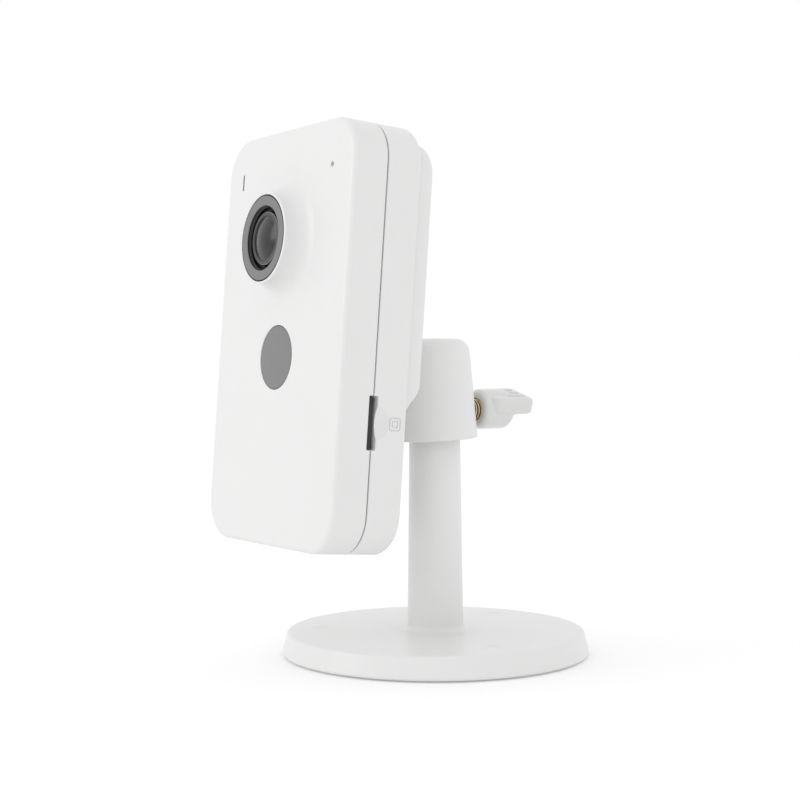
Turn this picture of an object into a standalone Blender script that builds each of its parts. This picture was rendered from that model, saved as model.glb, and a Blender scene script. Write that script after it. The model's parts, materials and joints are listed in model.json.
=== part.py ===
"""An indoor security camera: a slim upright head held by a ball joint on a round weighted stand.

Metres, +Z up. The origin is the centre of the stand's underside and the lens looks along -Y.
The head hangs on empties: pan_pivot (the column's axis), tilt_pivot (the ball's centre, leaning
back as the head stands) and head_frame (the middle of the front face). In head_frame +X is across,
+Y is back into the head and +Z is up its face.
"""

import math

import bmesh
import bpy

mm = 0.001

# ---- clearances -------------------------------------------------------------------------------
GAP = 0.3 * mm                 # between pieces that touch or run in one another
THREAD_GAP = 0.3 * mm          # between a screw's outside and the hole it bites in

# ---- stand ------------------------------------------------------------------------------------
BASE_RADIUS = 37.5 * mm        # at the bottom of the drafted rim
BASE_TOP_RADIUS = 36.2 * mm
BASE_TOP = 5.83 * mm           # height of the disc's upper face
BASE_UNDERSIDE = 0.4 * mm      # the disc stands this much off the floor, on its pad
BASE_EDGE = 0.7 * mm
BASE_PLATE = 2.2 * mm          # thickness of the disc's top plate
RIM_WALL = 3.0 * mm
PAD_THICKNESS = 0.6 * mm
BALLAST_THICKNESS = 2.4 * mm

COLUMN_FOOT_RADIUS = 6.84 * mm
COLUMN_TOP_RADIUS = 6.22 * mm
COLUMN_FOOT_FILLET = 1.6 * mm
SPIGOT_RADIUS = 6.0 * mm
SPIGOT_SHOULDER = 53.1 * mm    # height where the column narrows to the hood's bearing
SPIGOT_TOP = 56.6 * mm
RING_GROOVE_LOW = 54.4 * mm
RING_GROOVE_HEIGHT = 1.1 * mm
RING_GROOVE_DEPTH = 0.8 * mm

BASE_HOLES = 3                 # knock-outs for screws into a wall or a ceiling
BASE_HOLE_CIRCLE = 28.0 * mm
BASE_HOLE_RADIUS = 2.1 * mm
BASE_HOLE_TURN = math.radians(-7.3)
BASE_BOSS_RADIUS = 4.0 * mm
KNOCK_OUT_SKIN = 0.6 * mm      # what closes each hole at the top
KNOCK_OUT_DIMPLE = 0.15 * mm

BALLAST_SCREW_RADIUS = 2.0 * mm
BALLAST_SCREW_LENGTH = 11.0 * mm
BALLAST_SCREW_HEAD_RADIUS = 3.2 * mm
BALLAST_SCREW_HEAD = 1.3 * mm

# ---- ball joint and hood ----------------------------------------------------------------------
BALL_HEIGHT = 64.0 * mm
BALL_RADIUS = 6.0 * mm
NECK_RADIUS = 3.6 * mm
FLANGE_RADIUS = 7.6 * mm
FLANGE_THICKNESS = 1.6 * mm
STUD_SHANK_RADIUS = 4.0 * mm
STUD_SHANK_END = 6.6 * mm      # shank length inside the head
NUT_RADIUS = 6.2 * mm
NUT_THICKNESS = 2.2 * mm
WASHER_THICKNESS = 0.6 * mm
WASHER_RADIUS = 6.8 * mm

HOOD_RIM = 52.5 * mm           # height of the hood's lower rim on its axis
HOOD_RIM_SLANT = math.radians(3.0)
HOOD_RIM_RADIUS = 10.5 * mm
HOOD_RIM_WALL = 1.3 * mm
HOOD_BEARING = 53.4 * mm       # height where the bore closes in on the spigot
HOOD_TOP = 76.9 * mm
HOOD_TOP_RADIUS = 8.35 * mm
HOOD_TOP_FILLET = 3.5 * mm
SLOT_LOW = 59.7 * mm           # the window in the hood's front that the neck swings in
SLOT_HIGH = 73.2 * mm
SLOT_SIDE_GAP = 0.5 * mm

TILT_REST = math.radians(4.49)  # the head leans back by this much

# ---- thumb screw ------------------------------------------------------------------------------
SCREW_HEIGHT = 59.5 * mm
SCREW_RADIUS = 2.6 * mm
SCREW_TIP = 7.3 * mm           # distance of its tip from the column's axis
SCREW_LENGTH = 9.6 * mm
PRESSURE_PAD_RADIUS = 2.3 * mm
PRESSURE_PAD_FRONT = 4.2 * mm
INSERT_WALL = 0.7 * mm
INSERT_LENGTH = 2.0 * mm
KNOB_FRONT = 12.3 * mm         # distance of the knob's face from the column's axis
KNOB_END = 26.9 * mm
KNOB_HUB_RADIUS = 5.0 * mm
KNOB_HUB_LENGTH = 9.8 * mm
PADDLE_WIDTH = 10.9 * mm
PADDLE_THICKNESS = 4.3 * mm
PADDLE_START = 14.0 * mm
PADDLE_RISE = 1.9 * mm         # its middle plane above the screw's axis
PADDLE_TURN = math.radians(15.0)
PADDLE_CORNER = 1.4 * mm
PADDLE_EDGE = 1.2 * mm

# ---- head -------------------------------------------------------------------------------------
HEAD_WIDTH = 58.5 * mm
HEAD_HEIGHT = 95.7 * mm
HEAD_CORNER = 9.4 * mm
HEAD_REACH = 44.62 * mm        # from the ball's centre forward to the front face
HEAD_RISE = 9.72 * mm          # from the neck's axis up to the middle of the front face
FRONT_DEPTH = 8.6 * mm         # depth of the front shell
SHELL_DEPTH = 18.1 * mm        # front face to the back of the rear shell's rim
BLOCK_DEPTH = 22.3 * mm        # front face to the back of the raised block
FRONT_EDGE = 1.3 * mm
REAR_EDGE = 1.0 * mm
FRONT_WALL = 2.0 * mm
SIDE_WALL = 1.6 * mm
REAR_WALL = 1.8 * mm
REAR_SIDE_WALL = 2.6 * mm
LIP_LENGTH = 1.4 * mm          # the rear shell's tongue inside the front shell

BLOCK_INSET = 1.5 * mm         # the raised block's sides, in from the head's sides
BLOCK_TOP = HEAD_HEIGHT / 2 - 3.05 * mm
BLOCK_CORNER = 8.0 * mm
BLOCK_SLOPE_TOP = -10.2 * mm   # the block's lower end slopes in from here ...
BLOCK_SLOPE_FOOT = -14.9 * mm  # ... and meets the shell's back here
MOUNT_BOSS_RADIUS = 9.5 * mm
MOUNT_BOSS_STEP = 0.4 * mm     # it stands this much behind the block

# lens
LENS_HEIGHT = 21.97 * mm       # above the middle of the front face
LENS_BEZEL_RADIUS = 10.46 * mm
LENS_BEZEL_DEPTH = 5.37 * mm   # it stands this much in front of the face
LENS_BEZEL_FILLET = 3.4 * mm
LENS_BEZEL_BORE = 9.95 * mm
LENS_RIM_EDGE = 0.45 * mm
TRIM_RING_BORE = 7.4 * mm
TRIM_RING_SET = 0.2 * mm       # its face behind the bezel's
TRIM_RING_THICKNESS = 1.6 * mm
BARREL_RADIUS = 6.1 * mm
BARREL_SET = 0.75 * mm
BARREL_BODY_RADIUS = 5.6 * mm
BARREL_LENGTH = 11.4 * mm
GLASS_RADIUS = 4.8 * mm
GLASS_CROWN = 1.0 * mm
REAR_GLASS_RADIUS = 3.6 * mm
LENS_HOLDER_WIDTH = 16.0 * mm
LENS_HOLDER_DEPTH = 6.6 * mm
SENSOR_WIDTH = 8.0 * mm
SENSOR_THICKNESS = 0.8 * mm

# motion sensor
PIR_HEIGHT = -4.80 * mm
PIR_RADIUS = 7.2 * mm
PIR_FLANGE = 1.2 * mm
PIR_WINDOW_THICKNESS = 1.6 * mm
PIR_CAN_RADIUS = 4.6 * mm
PIR_CAN_HEIGHT = 4.2 * mm

# indicator and microphone
INDICATOR_X = -21.4 * mm
MARKS_HEIGHT = HEAD_HEIGHT / 2 - 10.45 * mm
INDICATOR_LENGTH = 3.8 * mm
INDICATOR_WIDTH = 0.8 * mm
MIC_X = 20.1 * mm
MIC_HOLE_RADIUS = 0.6 * mm
MIC_RADIUS = 2.0 * mm
MIC_THICKNESS = 1.4 * mm

# memory card
CARD_LENGTH = 15.0 * mm
CARD_WIDTH = 11.0 * mm
CARD_THICKNESS = 1.0 * mm
CARD_HEIGHT = -18.57 * mm      # middle of the card's slot, up the face
CARD_DEPTH = 8.8 * mm          # middle of the card's thickness, behind the front face
CARD_SET = 1.1 * mm            # the card's outer end, in from the head's side
CARD_SLOT_LENGTH = CARD_WIDTH + 0.8 * mm
CARD_SLOT_WIDTH = CARD_THICKNESS + 1.2 * mm
CARD_SOCKET_WALL = 0.9 * mm
CARD_SOCKET_SKIN = 0.4 * mm
THUMB_SCOOP_RADIUS = 6.0 * mm
THUMB_SCOOP_DEPTH = 1.3 * mm
THUMB_SCOOP_BACK = 0.7 * mm    # its middle behind the card's

# circuit board and what stands on it
BOARD_FRONT = 10.2 * mm        # its front side, behind the front face
BOARD_THICKNESS = 1.4 * mm
BOARD_MARGIN = 1.2 * mm        # to the shell's inner walls
PROCESSOR_WIDTH = 14.0 * mm
PROCESSOR_THICKNESS = 1.3 * mm
HEAT_SINK_WIDTH = 22.0 * mm
HEAT_SINK_HEIGHT = 5.0 * mm
HEAT_SINK_FINS = 5
WIFI_CAN = (13.0 * mm, 2.2 * mm, 11.0 * mm)
WIFI_PLACE = (-14.0 * mm, 1.0 * mm)
ANTENNA = (24.0 * mm, 0.5 * mm, 7.0 * mm)
ANTENNA_HEIGHT = BLOCK_TOP - 6.8 * mm
SPEAKER_RADIUS = 9.0 * mm
SPEAKER_DEPTH = 3.8 * mm
SPEAKER_PLACE = (-10.5 * mm, 17.85 * mm - HEAD_HEIGHT / 2)
GRILLE_SLOTS = 5
GRILLE_SLOT_WIDTH = 1.2 * mm
GRILLE_SLOT_PITCH = 2.6 * mm
GRILLE_MARGIN = 1.6 * mm       # from the speaker's rim to the ends of the slots
POWER_SOCKET = (7.6 * mm, 2.7 * mm, 5.6 * mm)
POWER_SOCKET_X = 9.0 * mm
POWER_SOCKET_WALL = 0.4 * mm
CAPACITOR_RADIUS = 2.6 * mm
CAPACITOR_HEIGHT = 3.8 * mm
CAPACITOR_PLACE = (20.0 * mm, 17.85 * mm - HEAD_HEIGHT / 2)
INDUCTOR = (5.0 * mm, 2.8 * mm, 5.0 * mm)
INDUCTOR_PLACE = (16.0 * mm, -8.0 * mm)

# reset button
RESET_PLACE = (13.0 * mm, 20.85 * mm - HEAD_HEIGHT / 2)
RESET_RADIUS = 1.7 * mm
RESET_TRAVEL = 0.5 * mm
RESET_SWITCH_WIDTH = 5.0 * mm
RESET_SWITCH_HEIGHT = 3.0 * mm

# housing screws
HOUSING_SCREW_X = HEAD_WIDTH / 2 - 8.75 * mm
HOUSING_SCREW_HIGH = HEAD_HEIGHT / 2 - 21.85 * mm
HOUSING_SCREW_LOW = 8.35 * mm - HEAD_HEIGHT / 2
HOUSING_SCREW_PLACES = [(x, z) for z in (HOUSING_SCREW_HIGH, HOUSING_SCREW_LOW)
                        for x in (-HOUSING_SCREW_X, HOUSING_SCREW_X)]
HOUSING_SCREW_RADIUS = 1.3 * mm
HOUSING_SCREW_LENGTH = 9.0 * mm
HOUSING_SCREW_HEAD_RADIUS = 2.3 * mm
HOUSING_SCREW_HEAD = 1.5 * mm
HOUSING_SCREW_SEAT = 13.2 * mm  # where its head sits, behind the front face
HOUSING_POST_WALL = 1.5 * mm

# ---- facets -----------------------------------------------------------------------------------
DISC_STEPS = 40
ROUND_STEPS = 32
SMALL_STEPS = 20
FINE_STEPS = 12
CORNER_STEPS = 5
EDGE_STEPS = 2

FORWARD = (math.pi / 2, 0, 0)    # turns a piece's own +Z to -Y
BACKWARD = (-math.pi / 2, 0, 0)  # turns a piece's own +Z to +Y

WHITE = ((0.86, 0.86, 0.85), 0.38, 0.0)
KNOB_WHITE = ((0.84, 0.84, 0.83), 0.25, 0.0)
BRASS = ((0.78, 0.60, 0.30), 0.30, 1.0)
STEEL = ((0.55, 0.55, 0.56), 0.35, 1.0)
ZINC = ((0.70, 0.71, 0.72), 0.40, 1.0)
ALUMINIUM = ((0.80, 0.80, 0.81), 0.40, 1.0)
BLACK = ((0.02, 0.02, 0.02), 0.40, 0.0)
RUBBER = ((0.05, 0.05, 0.05), 0.85, 0.0)
GREY = ((0.27, 0.27, 0.28), 0.35, 0.0)
GREY_WINDOW = ((0.22, 0.22, 0.23), 0.15, 0.0)
GLASS = ((0.10, 0.10, 0.12), 0.05, 0.0)
CLEAR = ((0.45, 0.46, 0.47), 0.20, 0.0)
BOARD_GREEN = ((0.03, 0.16, 0.08), 0.45, 0.0)
CHIP = ((0.03, 0.03, 0.035), 0.50, 0.0)
NYLON = ((0.80, 0.79, 0.74), 0.50, 0.0)


# ---- small kit --------------------------------------------------------------------------------
def clear_scene():
    for old in list(bpy.data.objects):
        bpy.data.objects.remove(old, do_unlink=True)


def collection(name):
    made = bpy.data.collections.new(name)
    bpy.context.scene.collection.children.link(made)
    return made


clear_scene()
CAMERA = collection("security_camera")
CUTTERS = collection("cutters")


def empty(name, parent=None, location=(0, 0, 0), rotation=(0, 0, 0)):
    made = bpy.data.objects.new(name, None)
    made.empty_display_size = 0.01
    made.parent = parent
    made.location = location
    made.rotation_euler = rotation
    CAMERA.objects.link(made)
    return made


def place(piece, finish, parent, location, rotation):
    """Put a piece in the camera, or, without a finish, among the cutters."""
    piece.parent = parent
    piece.location = location
    piece.rotation_euler = rotation
    if finish is None:
        CUTTERS.objects.link(piece)
        piece.hide_render = True
        piece.display_type = "WIRE"
        return piece
    CAMERA.objects.link(piece)
    colour, roughness, metallic = finish
    skin = bpy.data.materials.new(f"{piece.name}_finish")
    skin.use_nodes = True
    shader = skin.node_tree.nodes["Principled BSDF"]
    shader.inputs["Base Color"].default_value = (*colour, 1)
    shader.inputs["Roughness"].default_value = roughness
    shader.inputs["Metallic"].default_value = metallic
    skin.diffuse_color = (*colour, 1)
    piece.data.materials.append(skin)
    return piece


def arc(centre_r, centre_z, radius, start, stop, steps):
    """Points on an arc, in degrees from +X."""
    angles = [math.radians(start + (stop - start) * i / steps) for i in range(steps + 1)]
    return [(centre_r + radius * math.cos(a), centre_z + radius * math.sin(a)) for a in angles]


def turned(name, outline, finish=None, parent=None, location=(0, 0, 0), rotation=(0, 0, 0),
           steps=SMALL_STEPS, ring=False):
    """Turn an outline of (radius, height) about the piece's own Z.

    The outline runs down the outer side. It starts and ends on the axis, or is a closed ring.
    """
    mesh = bpy.data.meshes.new(name)
    count = len(outline)
    edges = [(i, i + 1) for i in range(count - 1)] + ([(count - 1, 0)] if ring else [])
    mesh.from_pydata([(r, 0, z) for r, z in outline], edges, [])
    piece = bpy.data.objects.new(name, mesh)
    screw = piece.modifiers.new("turn", "SCREW")
    screw.steps = screw.render_steps = steps
    screw.use_merge_vertices = True
    screw.merge_threshold = 0.00001
    screw.use_smooth_shade = True
    return place(piece, finish, parent, location, rotation)


def rod(name, radius, low, high, finish=None, parent=None, location=(0, 0, 0),
        rotation=(0, 0, 0), steps=SMALL_STEPS, chamfer=0.0):
    """A round bar from low to high along its own Z, its end edges chamfered."""
    outline = [(0, high), (radius - chamfer, high), (radius, high - chamfer),
               (radius, low + chamfer), (radius - chamfer, low), (0, low)]
    if not chamfer:
        outline = [(0, high), (radius, high), (radius, low), (0, low)]
    return turned(name, outline, finish, parent, location, rotation, steps)


def block(name, size, finish=None, parent=None, location=(0, 0, 0), rotation=(0, 0, 0),
          corner=0.0, front_edge=0.0, rear_edge=0.0, corner_steps=CORNER_STEPS):
    """A box about its own middle. corner rounds the four edges that run along Y;
    front_edge and rear_edge round the rims of its -Y and +Y faces."""
    body = bmesh.new()
    bmesh.ops.create_cube(body, size=1.0)
    bmesh.ops.scale(body, vec=size, verts=body.verts)
    if corner:
        along = [e for e in body.edges if abs(e.verts[0].co.y - e.verts[1].co.y) > size[1] / 2]
        bmesh.ops.bevel(body, geom=along, offset=corner, offset_type="OFFSET",
                        segments=corner_steps, profile=0.5, affect="EDGES")
    for edge_radius, side in ((front_edge, -1), (rear_edge, 1)):
        if edge_radius:
            plane = side * size[1] / 2
            rim = [e for e in body.edges if all(abs(v.co.y - plane) < 1e-7 for v in e.verts)]
            bmesh.ops.bevel(body, geom=rim, offset=edge_radius, offset_type="OFFSET",
                            segments=EDGE_STEPS, profile=0.5, affect="EDGES")
    mesh = bpy.data.meshes.new(name)
    body.to_mesh(mesh)
    body.free()
    mesh.shade_smooth()
    mesh.set_sharp_from_angle(angle=math.radians(35))
    return place(bpy.data.objects.new(name, mesh), finish, parent, location, rotation)


def wedge(name, outline, width, finish=None, parent=None, location=(0, 0, 0)):
    """A prism across X whose side view is an outline of (back, up) points."""
    body = bmesh.new()
    near = [body.verts.new((-width / 2, y, z)) for y, z in outline]
    face = body.faces.new(near)
    grown = bmesh.ops.extrude_face_region(body, geom=[face])["geom"]
    moved = [v for v in grown if isinstance(v, bmesh.types.BMVert)]
    bmesh.ops.translate(body, vec=(width, 0, 0), verts=moved)
    bmesh.ops.recalc_face_normals(body, faces=body.faces)
    mesh = bpy.data.meshes.new(name)
    body.to_mesh(mesh)
    body.free()
    return place(bpy.data.objects.new(name, mesh), finish, parent, location, (0, 0, 0))


def ball(name, radius, finish=None, parent=None, location=(0, 0, 0)):
    body = bmesh.new()
    bmesh.ops.create_uvsphere(body, u_segments=SMALL_STEPS, v_segments=SMALL_STEPS // 2,
                              radius=radius)
    mesh = bpy.data.meshes.new(name)
    body.to_mesh(mesh)
    body.free()
    return place(bpy.data.objects.new(name, mesh), finish, parent, location, (0, 0, 0))


def boolean(piece, tool, operation):
    step = piece.modifiers.new(f"{operation.lower()} {tool.name}", "BOOLEAN")
    step.operation = operation
    step.solver = "EXACT"
    step.object = tool


def cut(piece, *tools):
    for tool in tools:
        boolean(piece, tool, "DIFFERENCE")


def join(piece, *tools):
    for tool in tools:
        boolean(piece, tool, "UNION")


def around(radius, count, turn=0.0):
    """Places spread evenly on a circle, as (x, y)."""
    angles = [turn + i * math.tau / count for i in range(count)]
    return [(radius * math.cos(a), radius * math.sin(a)) for a in angles]


# ---- stand ------------------------------------------------------------------------------------
RECESS_RADIUS = BASE_RADIUS - RIM_WALL
RECESS_TOP = BASE_TOP - BASE_PLATE
BALLAST_LOW = PAD_THICKNESS + GAP
BALLAST_HIGH = BALLAST_LOW + BALLAST_THICKNESS
CORE_RADIUS = BALLAST_SCREW_RADIUS + THREAD_GAP
SCREW_HEAD_TOP = BALLAST_LOW + BALLAST_SCREW_HEAD
RING_GROOVE_HIGH = RING_GROOVE_LOW + RING_GROOVE_HEIGHT
GROOVE_RADIUS = SPIGOT_RADIUS - RING_GROOVE_DEPTH


def base_hole_places():
    return around(BASE_HOLE_CIRCLE, BASE_HOLES, BASE_HOLE_TURN)


def make_stand():
    """The round base and its column, one moulding, hollow underneath."""
    core_top = SCREW_HEAD_TOP + BALLAST_SCREW_LENGTH + GAP
    foot = COLUMN_FOOT_FILLET
    edge = BASE_EDGE
    outline = [(0, SPIGOT_TOP), (SPIGOT_RADIUS - GAP, SPIGOT_TOP),
               (SPIGOT_RADIUS, SPIGOT_TOP - GAP),
               (SPIGOT_RADIUS, RING_GROOVE_HIGH), (GROOVE_RADIUS, RING_GROOVE_HIGH),
               (GROOVE_RADIUS, RING_GROOVE_LOW), (SPIGOT_RADIUS, RING_GROOVE_LOW),
               (SPIGOT_RADIUS, SPIGOT_SHOULDER), (COLUMN_TOP_RADIUS, SPIGOT_SHOULDER)]
    outline += arc(COLUMN_FOOT_RADIUS + foot, BASE_TOP + foot, foot, 180, 270, 3)
    outline += arc(BASE_TOP_RADIUS - edge, BASE_TOP - edge, edge, 90, 10, 2)
    outline += arc(BASE_RADIUS - edge, BASE_UNDERSIDE + edge, edge, 0, -90, 2)
    outline += [(RECESS_RADIUS, BASE_UNDERSIDE), (RECESS_RADIUS, RECESS_TOP),
                (CORE_RADIUS, RECESS_TOP), (CORE_RADIUS, core_top), (0, core_top)]
    stand = turned("stand", outline, WHITE, steps=DISC_STEPS)
    for i, (x, y) in enumerate(base_hole_places()):
        low = BALLAST_LOW
        boss = rod(f"boss_{i}", BASE_BOSS_RADIUS, low, BASE_TOP - BASE_PLATE / 2,
                   location=(x, y, 0), steps=FINE_STEPS)
        at = {"location": (x, y, 0), "steps": FINE_STEPS}
        hole = rod(f"base_hole_{i}", BASE_HOLE_RADIUS, -GAP, BASE_TOP - KNOCK_OUT_SKIN, **at)
        dimple = rod(f"dimple_{i}", BASE_HOLE_RADIUS, BASE_TOP - KNOCK_OUT_DIMPLE,
                     BASE_TOP + GAP, **at)
        join(stand, boss)
        cut(stand, hole, dimple)


def make_ballast():
    """A steel plate under the disc, held by one screw up into the column."""
    radius = RECESS_RADIUS - GAP
    head_room = BALLAST_SCREW_HEAD_RADIUS + GAP
    outline = [(CORE_RADIUS, BALLAST_HIGH), (radius, BALLAST_HIGH), (radius, BALLAST_LOW),
               (head_room, BALLAST_LOW), (head_room, SCREW_HEAD_TOP + GAP),
               (CORE_RADIUS, SCREW_HEAD_TOP + GAP)]
    plate = turned("ballast_plate", outline, ZINC, steps=DISC_STEPS, ring=True)
    for i, (x, y) in enumerate(base_hole_places()):
        cut(plate, rod(f"boss_room_{i}", BASE_BOSS_RADIUS + 2 * GAP, 0, BALLAST_HIGH + GAP,
                       location=(x, y, 0), steps=FINE_STEPS))
    head, shank = BALLAST_SCREW_HEAD_RADIUS, BALLAST_SCREW_RADIUS
    end = SCREW_HEAD_TOP + BALLAST_SCREW_LENGTH
    turned("ballast_screw",
           [(0, end), (shank - GAP, end), (shank, end - GAP), (shank, SCREW_HEAD_TOP),
            (head, SCREW_HEAD_TOP), (head, BALLAST_LOW), (0, BALLAST_LOW)], STEEL)


def make_pad():
    """The anti-slip sheet that the camera stands on."""
    pad = rod("anti_slip_pad", RECESS_RADIUS - GAP, 0, PAD_THICKNESS, RUBBER, steps=DISC_STEPS)
    for i, (x, y) in enumerate(base_hole_places()):
        cut(pad, rod(f"pad_hole_{i}", BASE_HOLE_RADIUS + GAP, -GAP, PAD_THICKNESS + GAP,
                     location=(x, y, 0), steps=FINE_STEPS))


# ---- hood and thumb screw ---------------------------------------------------------------------
BORE_RADIUS = max(BALL_RADIUS, SPIGOT_RADIUS) + GAP
INSERT_RADIUS = SCREW_RADIUS + THREAD_GAP + INSERT_WALL
INSERT_START = SCREW_TIP + GAP


def make_hood(pan):
    """The cap that swivels on the column and holds the ball."""
    fillet = HOOD_TOP_FILLET
    rim_low = HOOD_RIM - HOOD_RIM_RADIUS * math.tan(HOOD_RIM_SLANT) - GAP
    outline = [(0, HOOD_TOP)]
    outline += arc(HOOD_TOP_RADIUS - fillet, HOOD_TOP - fillet, fillet, 90, 5, 4)
    outline += [(HOOD_RIM_RADIUS, rim_low), (HOOD_RIM_RADIUS - HOOD_RIM_WALL, rim_low),
                (HOOD_RIM_RADIUS - HOOD_RIM_WALL, HOOD_BEARING), (BORE_RADIUS, HOOD_BEARING),
                (BORE_RADIUS, RING_GROOVE_LOW), (BORE_RADIUS + RING_GROOVE_DEPTH, RING_GROOVE_LOW),
                (BORE_RADIUS + RING_GROOVE_DEPTH, RING_GROOVE_HIGH),
                (BORE_RADIUS, RING_GROOVE_HIGH)]
    outline += arc(0, BALL_HEIGHT, BORE_RADIUS, 0, 90, 5)[:-1] + [(0, BALL_HEIGHT + BORE_RADIUS)]
    hood = turned("hood", outline, WHITE, pan, steps=ROUND_STEPS)

    slot_width = 2 * (NECK_RADIUS + SLOT_SIDE_GAP)
    slot_depth = 2 * HOOD_RIM_RADIUS
    slot = block("neck_slot", (slot_width, slot_depth, SLOT_HIGH - SLOT_LOW), parent=pan,
                 location=(0, -slot_depth / 2 - BALL_RADIUS / 3, (SLOT_HIGH + SLOT_LOW) / 2),
                 corner=slot_width * 0.49)
    slab = 6 * mm
    reach = HOOD_RIM_RADIUS + slab
    under = block("rim_slant", (2 * reach, 2 * reach, slab), parent=pan,
                  location=(0, slab / 2 * math.sin(HOOD_RIM_SLANT),
                            HOOD_RIM - slab / 2 * math.cos(HOOD_RIM_SLANT)),
                  rotation=(HOOD_RIM_SLANT, 0, 0))
    axis_at = (0, 0, SCREW_HEIGHT)
    screw_bore = rod("screw_bore", SCREW_RADIUS + THREAD_GAP, BALL_RADIUS / 2,
                     HOOD_RIM_RADIUS + GAP, parent=pan, location=axis_at, rotation=BACKWARD)
    insert_room = rod("insert_room", INSERT_RADIUS + GAP, SCREW_TIP, HOOD_RIM_RADIUS + GAP,
                      parent=pan, location=axis_at, rotation=BACKWARD)
    cut(hood, slot, under, screw_bore, insert_room)


def make_retaining_ring(pan):
    """A sprung ring, in the grooves of spigot and hood, that keeps the hood on."""
    low, high = RING_GROOVE_LOW + GAP, RING_GROOVE_HIGH - GAP
    inner, outer = GROOVE_RADIUS + GAP, BORE_RADIUS + RING_GROOVE_DEPTH - GAP
    ring = turned("retaining_ring", [(inner, high), (outer, high), (outer, low), (inner, low)],
                  STEEL, pan, steps=ROUND_STEPS, ring=True)
    cut(ring, block("ring_gap", (3 * mm, 2 * outer, 3 * mm), parent=pan,
                    location=(0, -outer, (low + high) / 2)))


def make_clamp(pan):
    """Thumb screw, its brass bush in the hood, its knob and the pad it presses on the ball."""
    at = (0, 0, SCREW_HEIGHT)
    bore = SCREW_RADIUS + THREAD_GAP
    end = INSERT_START + INSERT_LENGTH
    turned("threaded_insert", [(bore, end), (INSERT_RADIUS, end), (INSERT_RADIUS, INSERT_START),
                               (bore, INSERT_START)], BRASS, pan, at, BACKWARD, ring=True)

    clamp = empty("clamp_axis", pan, at)
    pad = rod("pressure_pad", PRESSURE_PAD_RADIUS, PRESSURE_PAD_FRONT, SCREW_TIP - GAP, NYLON,
              clamp, rotation=BACKWARD)
    cut(pad, ball("ball_room", BALL_RADIUS + GAP, parent=pan, location=(0, 0, BALL_HEIGHT)))

    tip, point = SCREW_TIP, 0.6 * mm
    tail = SCREW_TIP + SCREW_LENGTH
    turned("thumb_screw", [(0, tail), (SCREW_RADIUS, tail), (SCREW_RADIUS, tip + point),
                           (SCREW_RADIUS - point, tip), (0, tip)], BRASS, clamp, (0, 0, 0), BACKWARD)

    edge = 1.0 * mm
    hub_end = KNOB_FRONT + KNOB_HUB_LENGTH
    outline = [(0, hub_end)] + arc(KNOB_HUB_RADIUS - 2 * edge, hub_end - 2 * edge, 2 * edge, 90, 0, 4)
    outline += [(KNOB_HUB_RADIUS, KNOB_FRONT + edge), (KNOB_HUB_RADIUS - edge, KNOB_FRONT),
                (0, KNOB_FRONT)]
    knob = turned("screw_knob", outline, KNOB_WHITE, clamp, (0, 0, 0), BACKWARD, steps=24)
    length = KNOB_END - PADDLE_START
    rise = PADDLE_RISE
    paddle = block("paddle", (PADDLE_WIDTH, length, PADDLE_THICKNESS), parent=clamp,
                   location=(rise * math.sin(PADDLE_TURN), PADDLE_START + length / 2,
                             rise * math.cos(PADDLE_TURN)),
                   rotation=(0, PADDLE_TURN, 0), corner=PADDLE_CORNER, corner_steps=4,
                   front_edge=PADDLE_EDGE, rear_edge=PADDLE_EDGE)
    join(knob, paddle)
    cut(knob, rod("screw_room", bore, KNOB_FRONT - GAP, tail + GAP, parent=clamp,
                  rotation=BACKWARD))


# ---- ball stud --------------------------------------------------------------------------------
MOUNT_BACK = BLOCK_DEPTH + MOUNT_BOSS_STEP  # front face to the back of the mount boss
MOUNT_FACE = HEAD_REACH - MOUNT_BACK       # from the ball's centre forward to the mount boss


def make_ball_stud(tilt):
    """Ball, neck and flange, with a shank through the head's back that the head turns on."""
    neck_start = math.sqrt(BALL_RADIUS ** 2 - NECK_RADIUS ** 2)
    seat = MOUNT_FACE - GAP
    tail = seat + STUD_SHANK_END
    flange_back = seat - FLANGE_THICKNESS
    lowest = math.degrees(math.asin(NECK_RADIUS / BALL_RADIUS))
    outline = [(0, tail), (STUD_SHANK_RADIUS - GAP, tail), (STUD_SHANK_RADIUS, tail - GAP),
               (STUD_SHANK_RADIUS, seat), (FLANGE_RADIUS, seat), (FLANGE_RADIUS, flange_back),
               (FLANGE_RADIUS - GAP, flange_back - GAP)]
    flare = FLANGE_RADIUS - GAP - NECK_RADIUS
    outline += arc(NECK_RADIUS + flare, flange_back - GAP - flare, flare, 90, 180, 4)[1:]
    outline += [(NECK_RADIUS, neck_start)]
    outline += arc(0, 0, BALL_RADIUS, 90 - lowest, -90, 8)[1:-1] + [(0, -BALL_RADIUS)]
    turned("ball_stud", outline, WHITE, tilt, (0, 0, 0), FORWARD, steps=24)

    bore = STUD_SHANK_RADIUS + THREAD_GAP
    low = MOUNT_FACE + REAR_WALL + GAP
    high = low + WASHER_THICKNESS
    turned("friction_washer", [(bore, high), (WASHER_RADIUS, high), (WASHER_RADIUS, low),
                               (bore, low)], NYLON, tilt, (0, 0, 0), FORWARD, ring=True)
    nut_low = high + GAP
    nut_high = nut_low + NUT_THICKNESS
    nut = rod("stud_nut", NUT_RADIUS, nut_low, nut_high, STEEL, tilt, (0, 0, 0), FORWARD, steps=6)
    cut(nut, rod("nut_bore", bore, nut_low - mm, nut_high + mm, parent=tilt, rotation=FORWARD))


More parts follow.
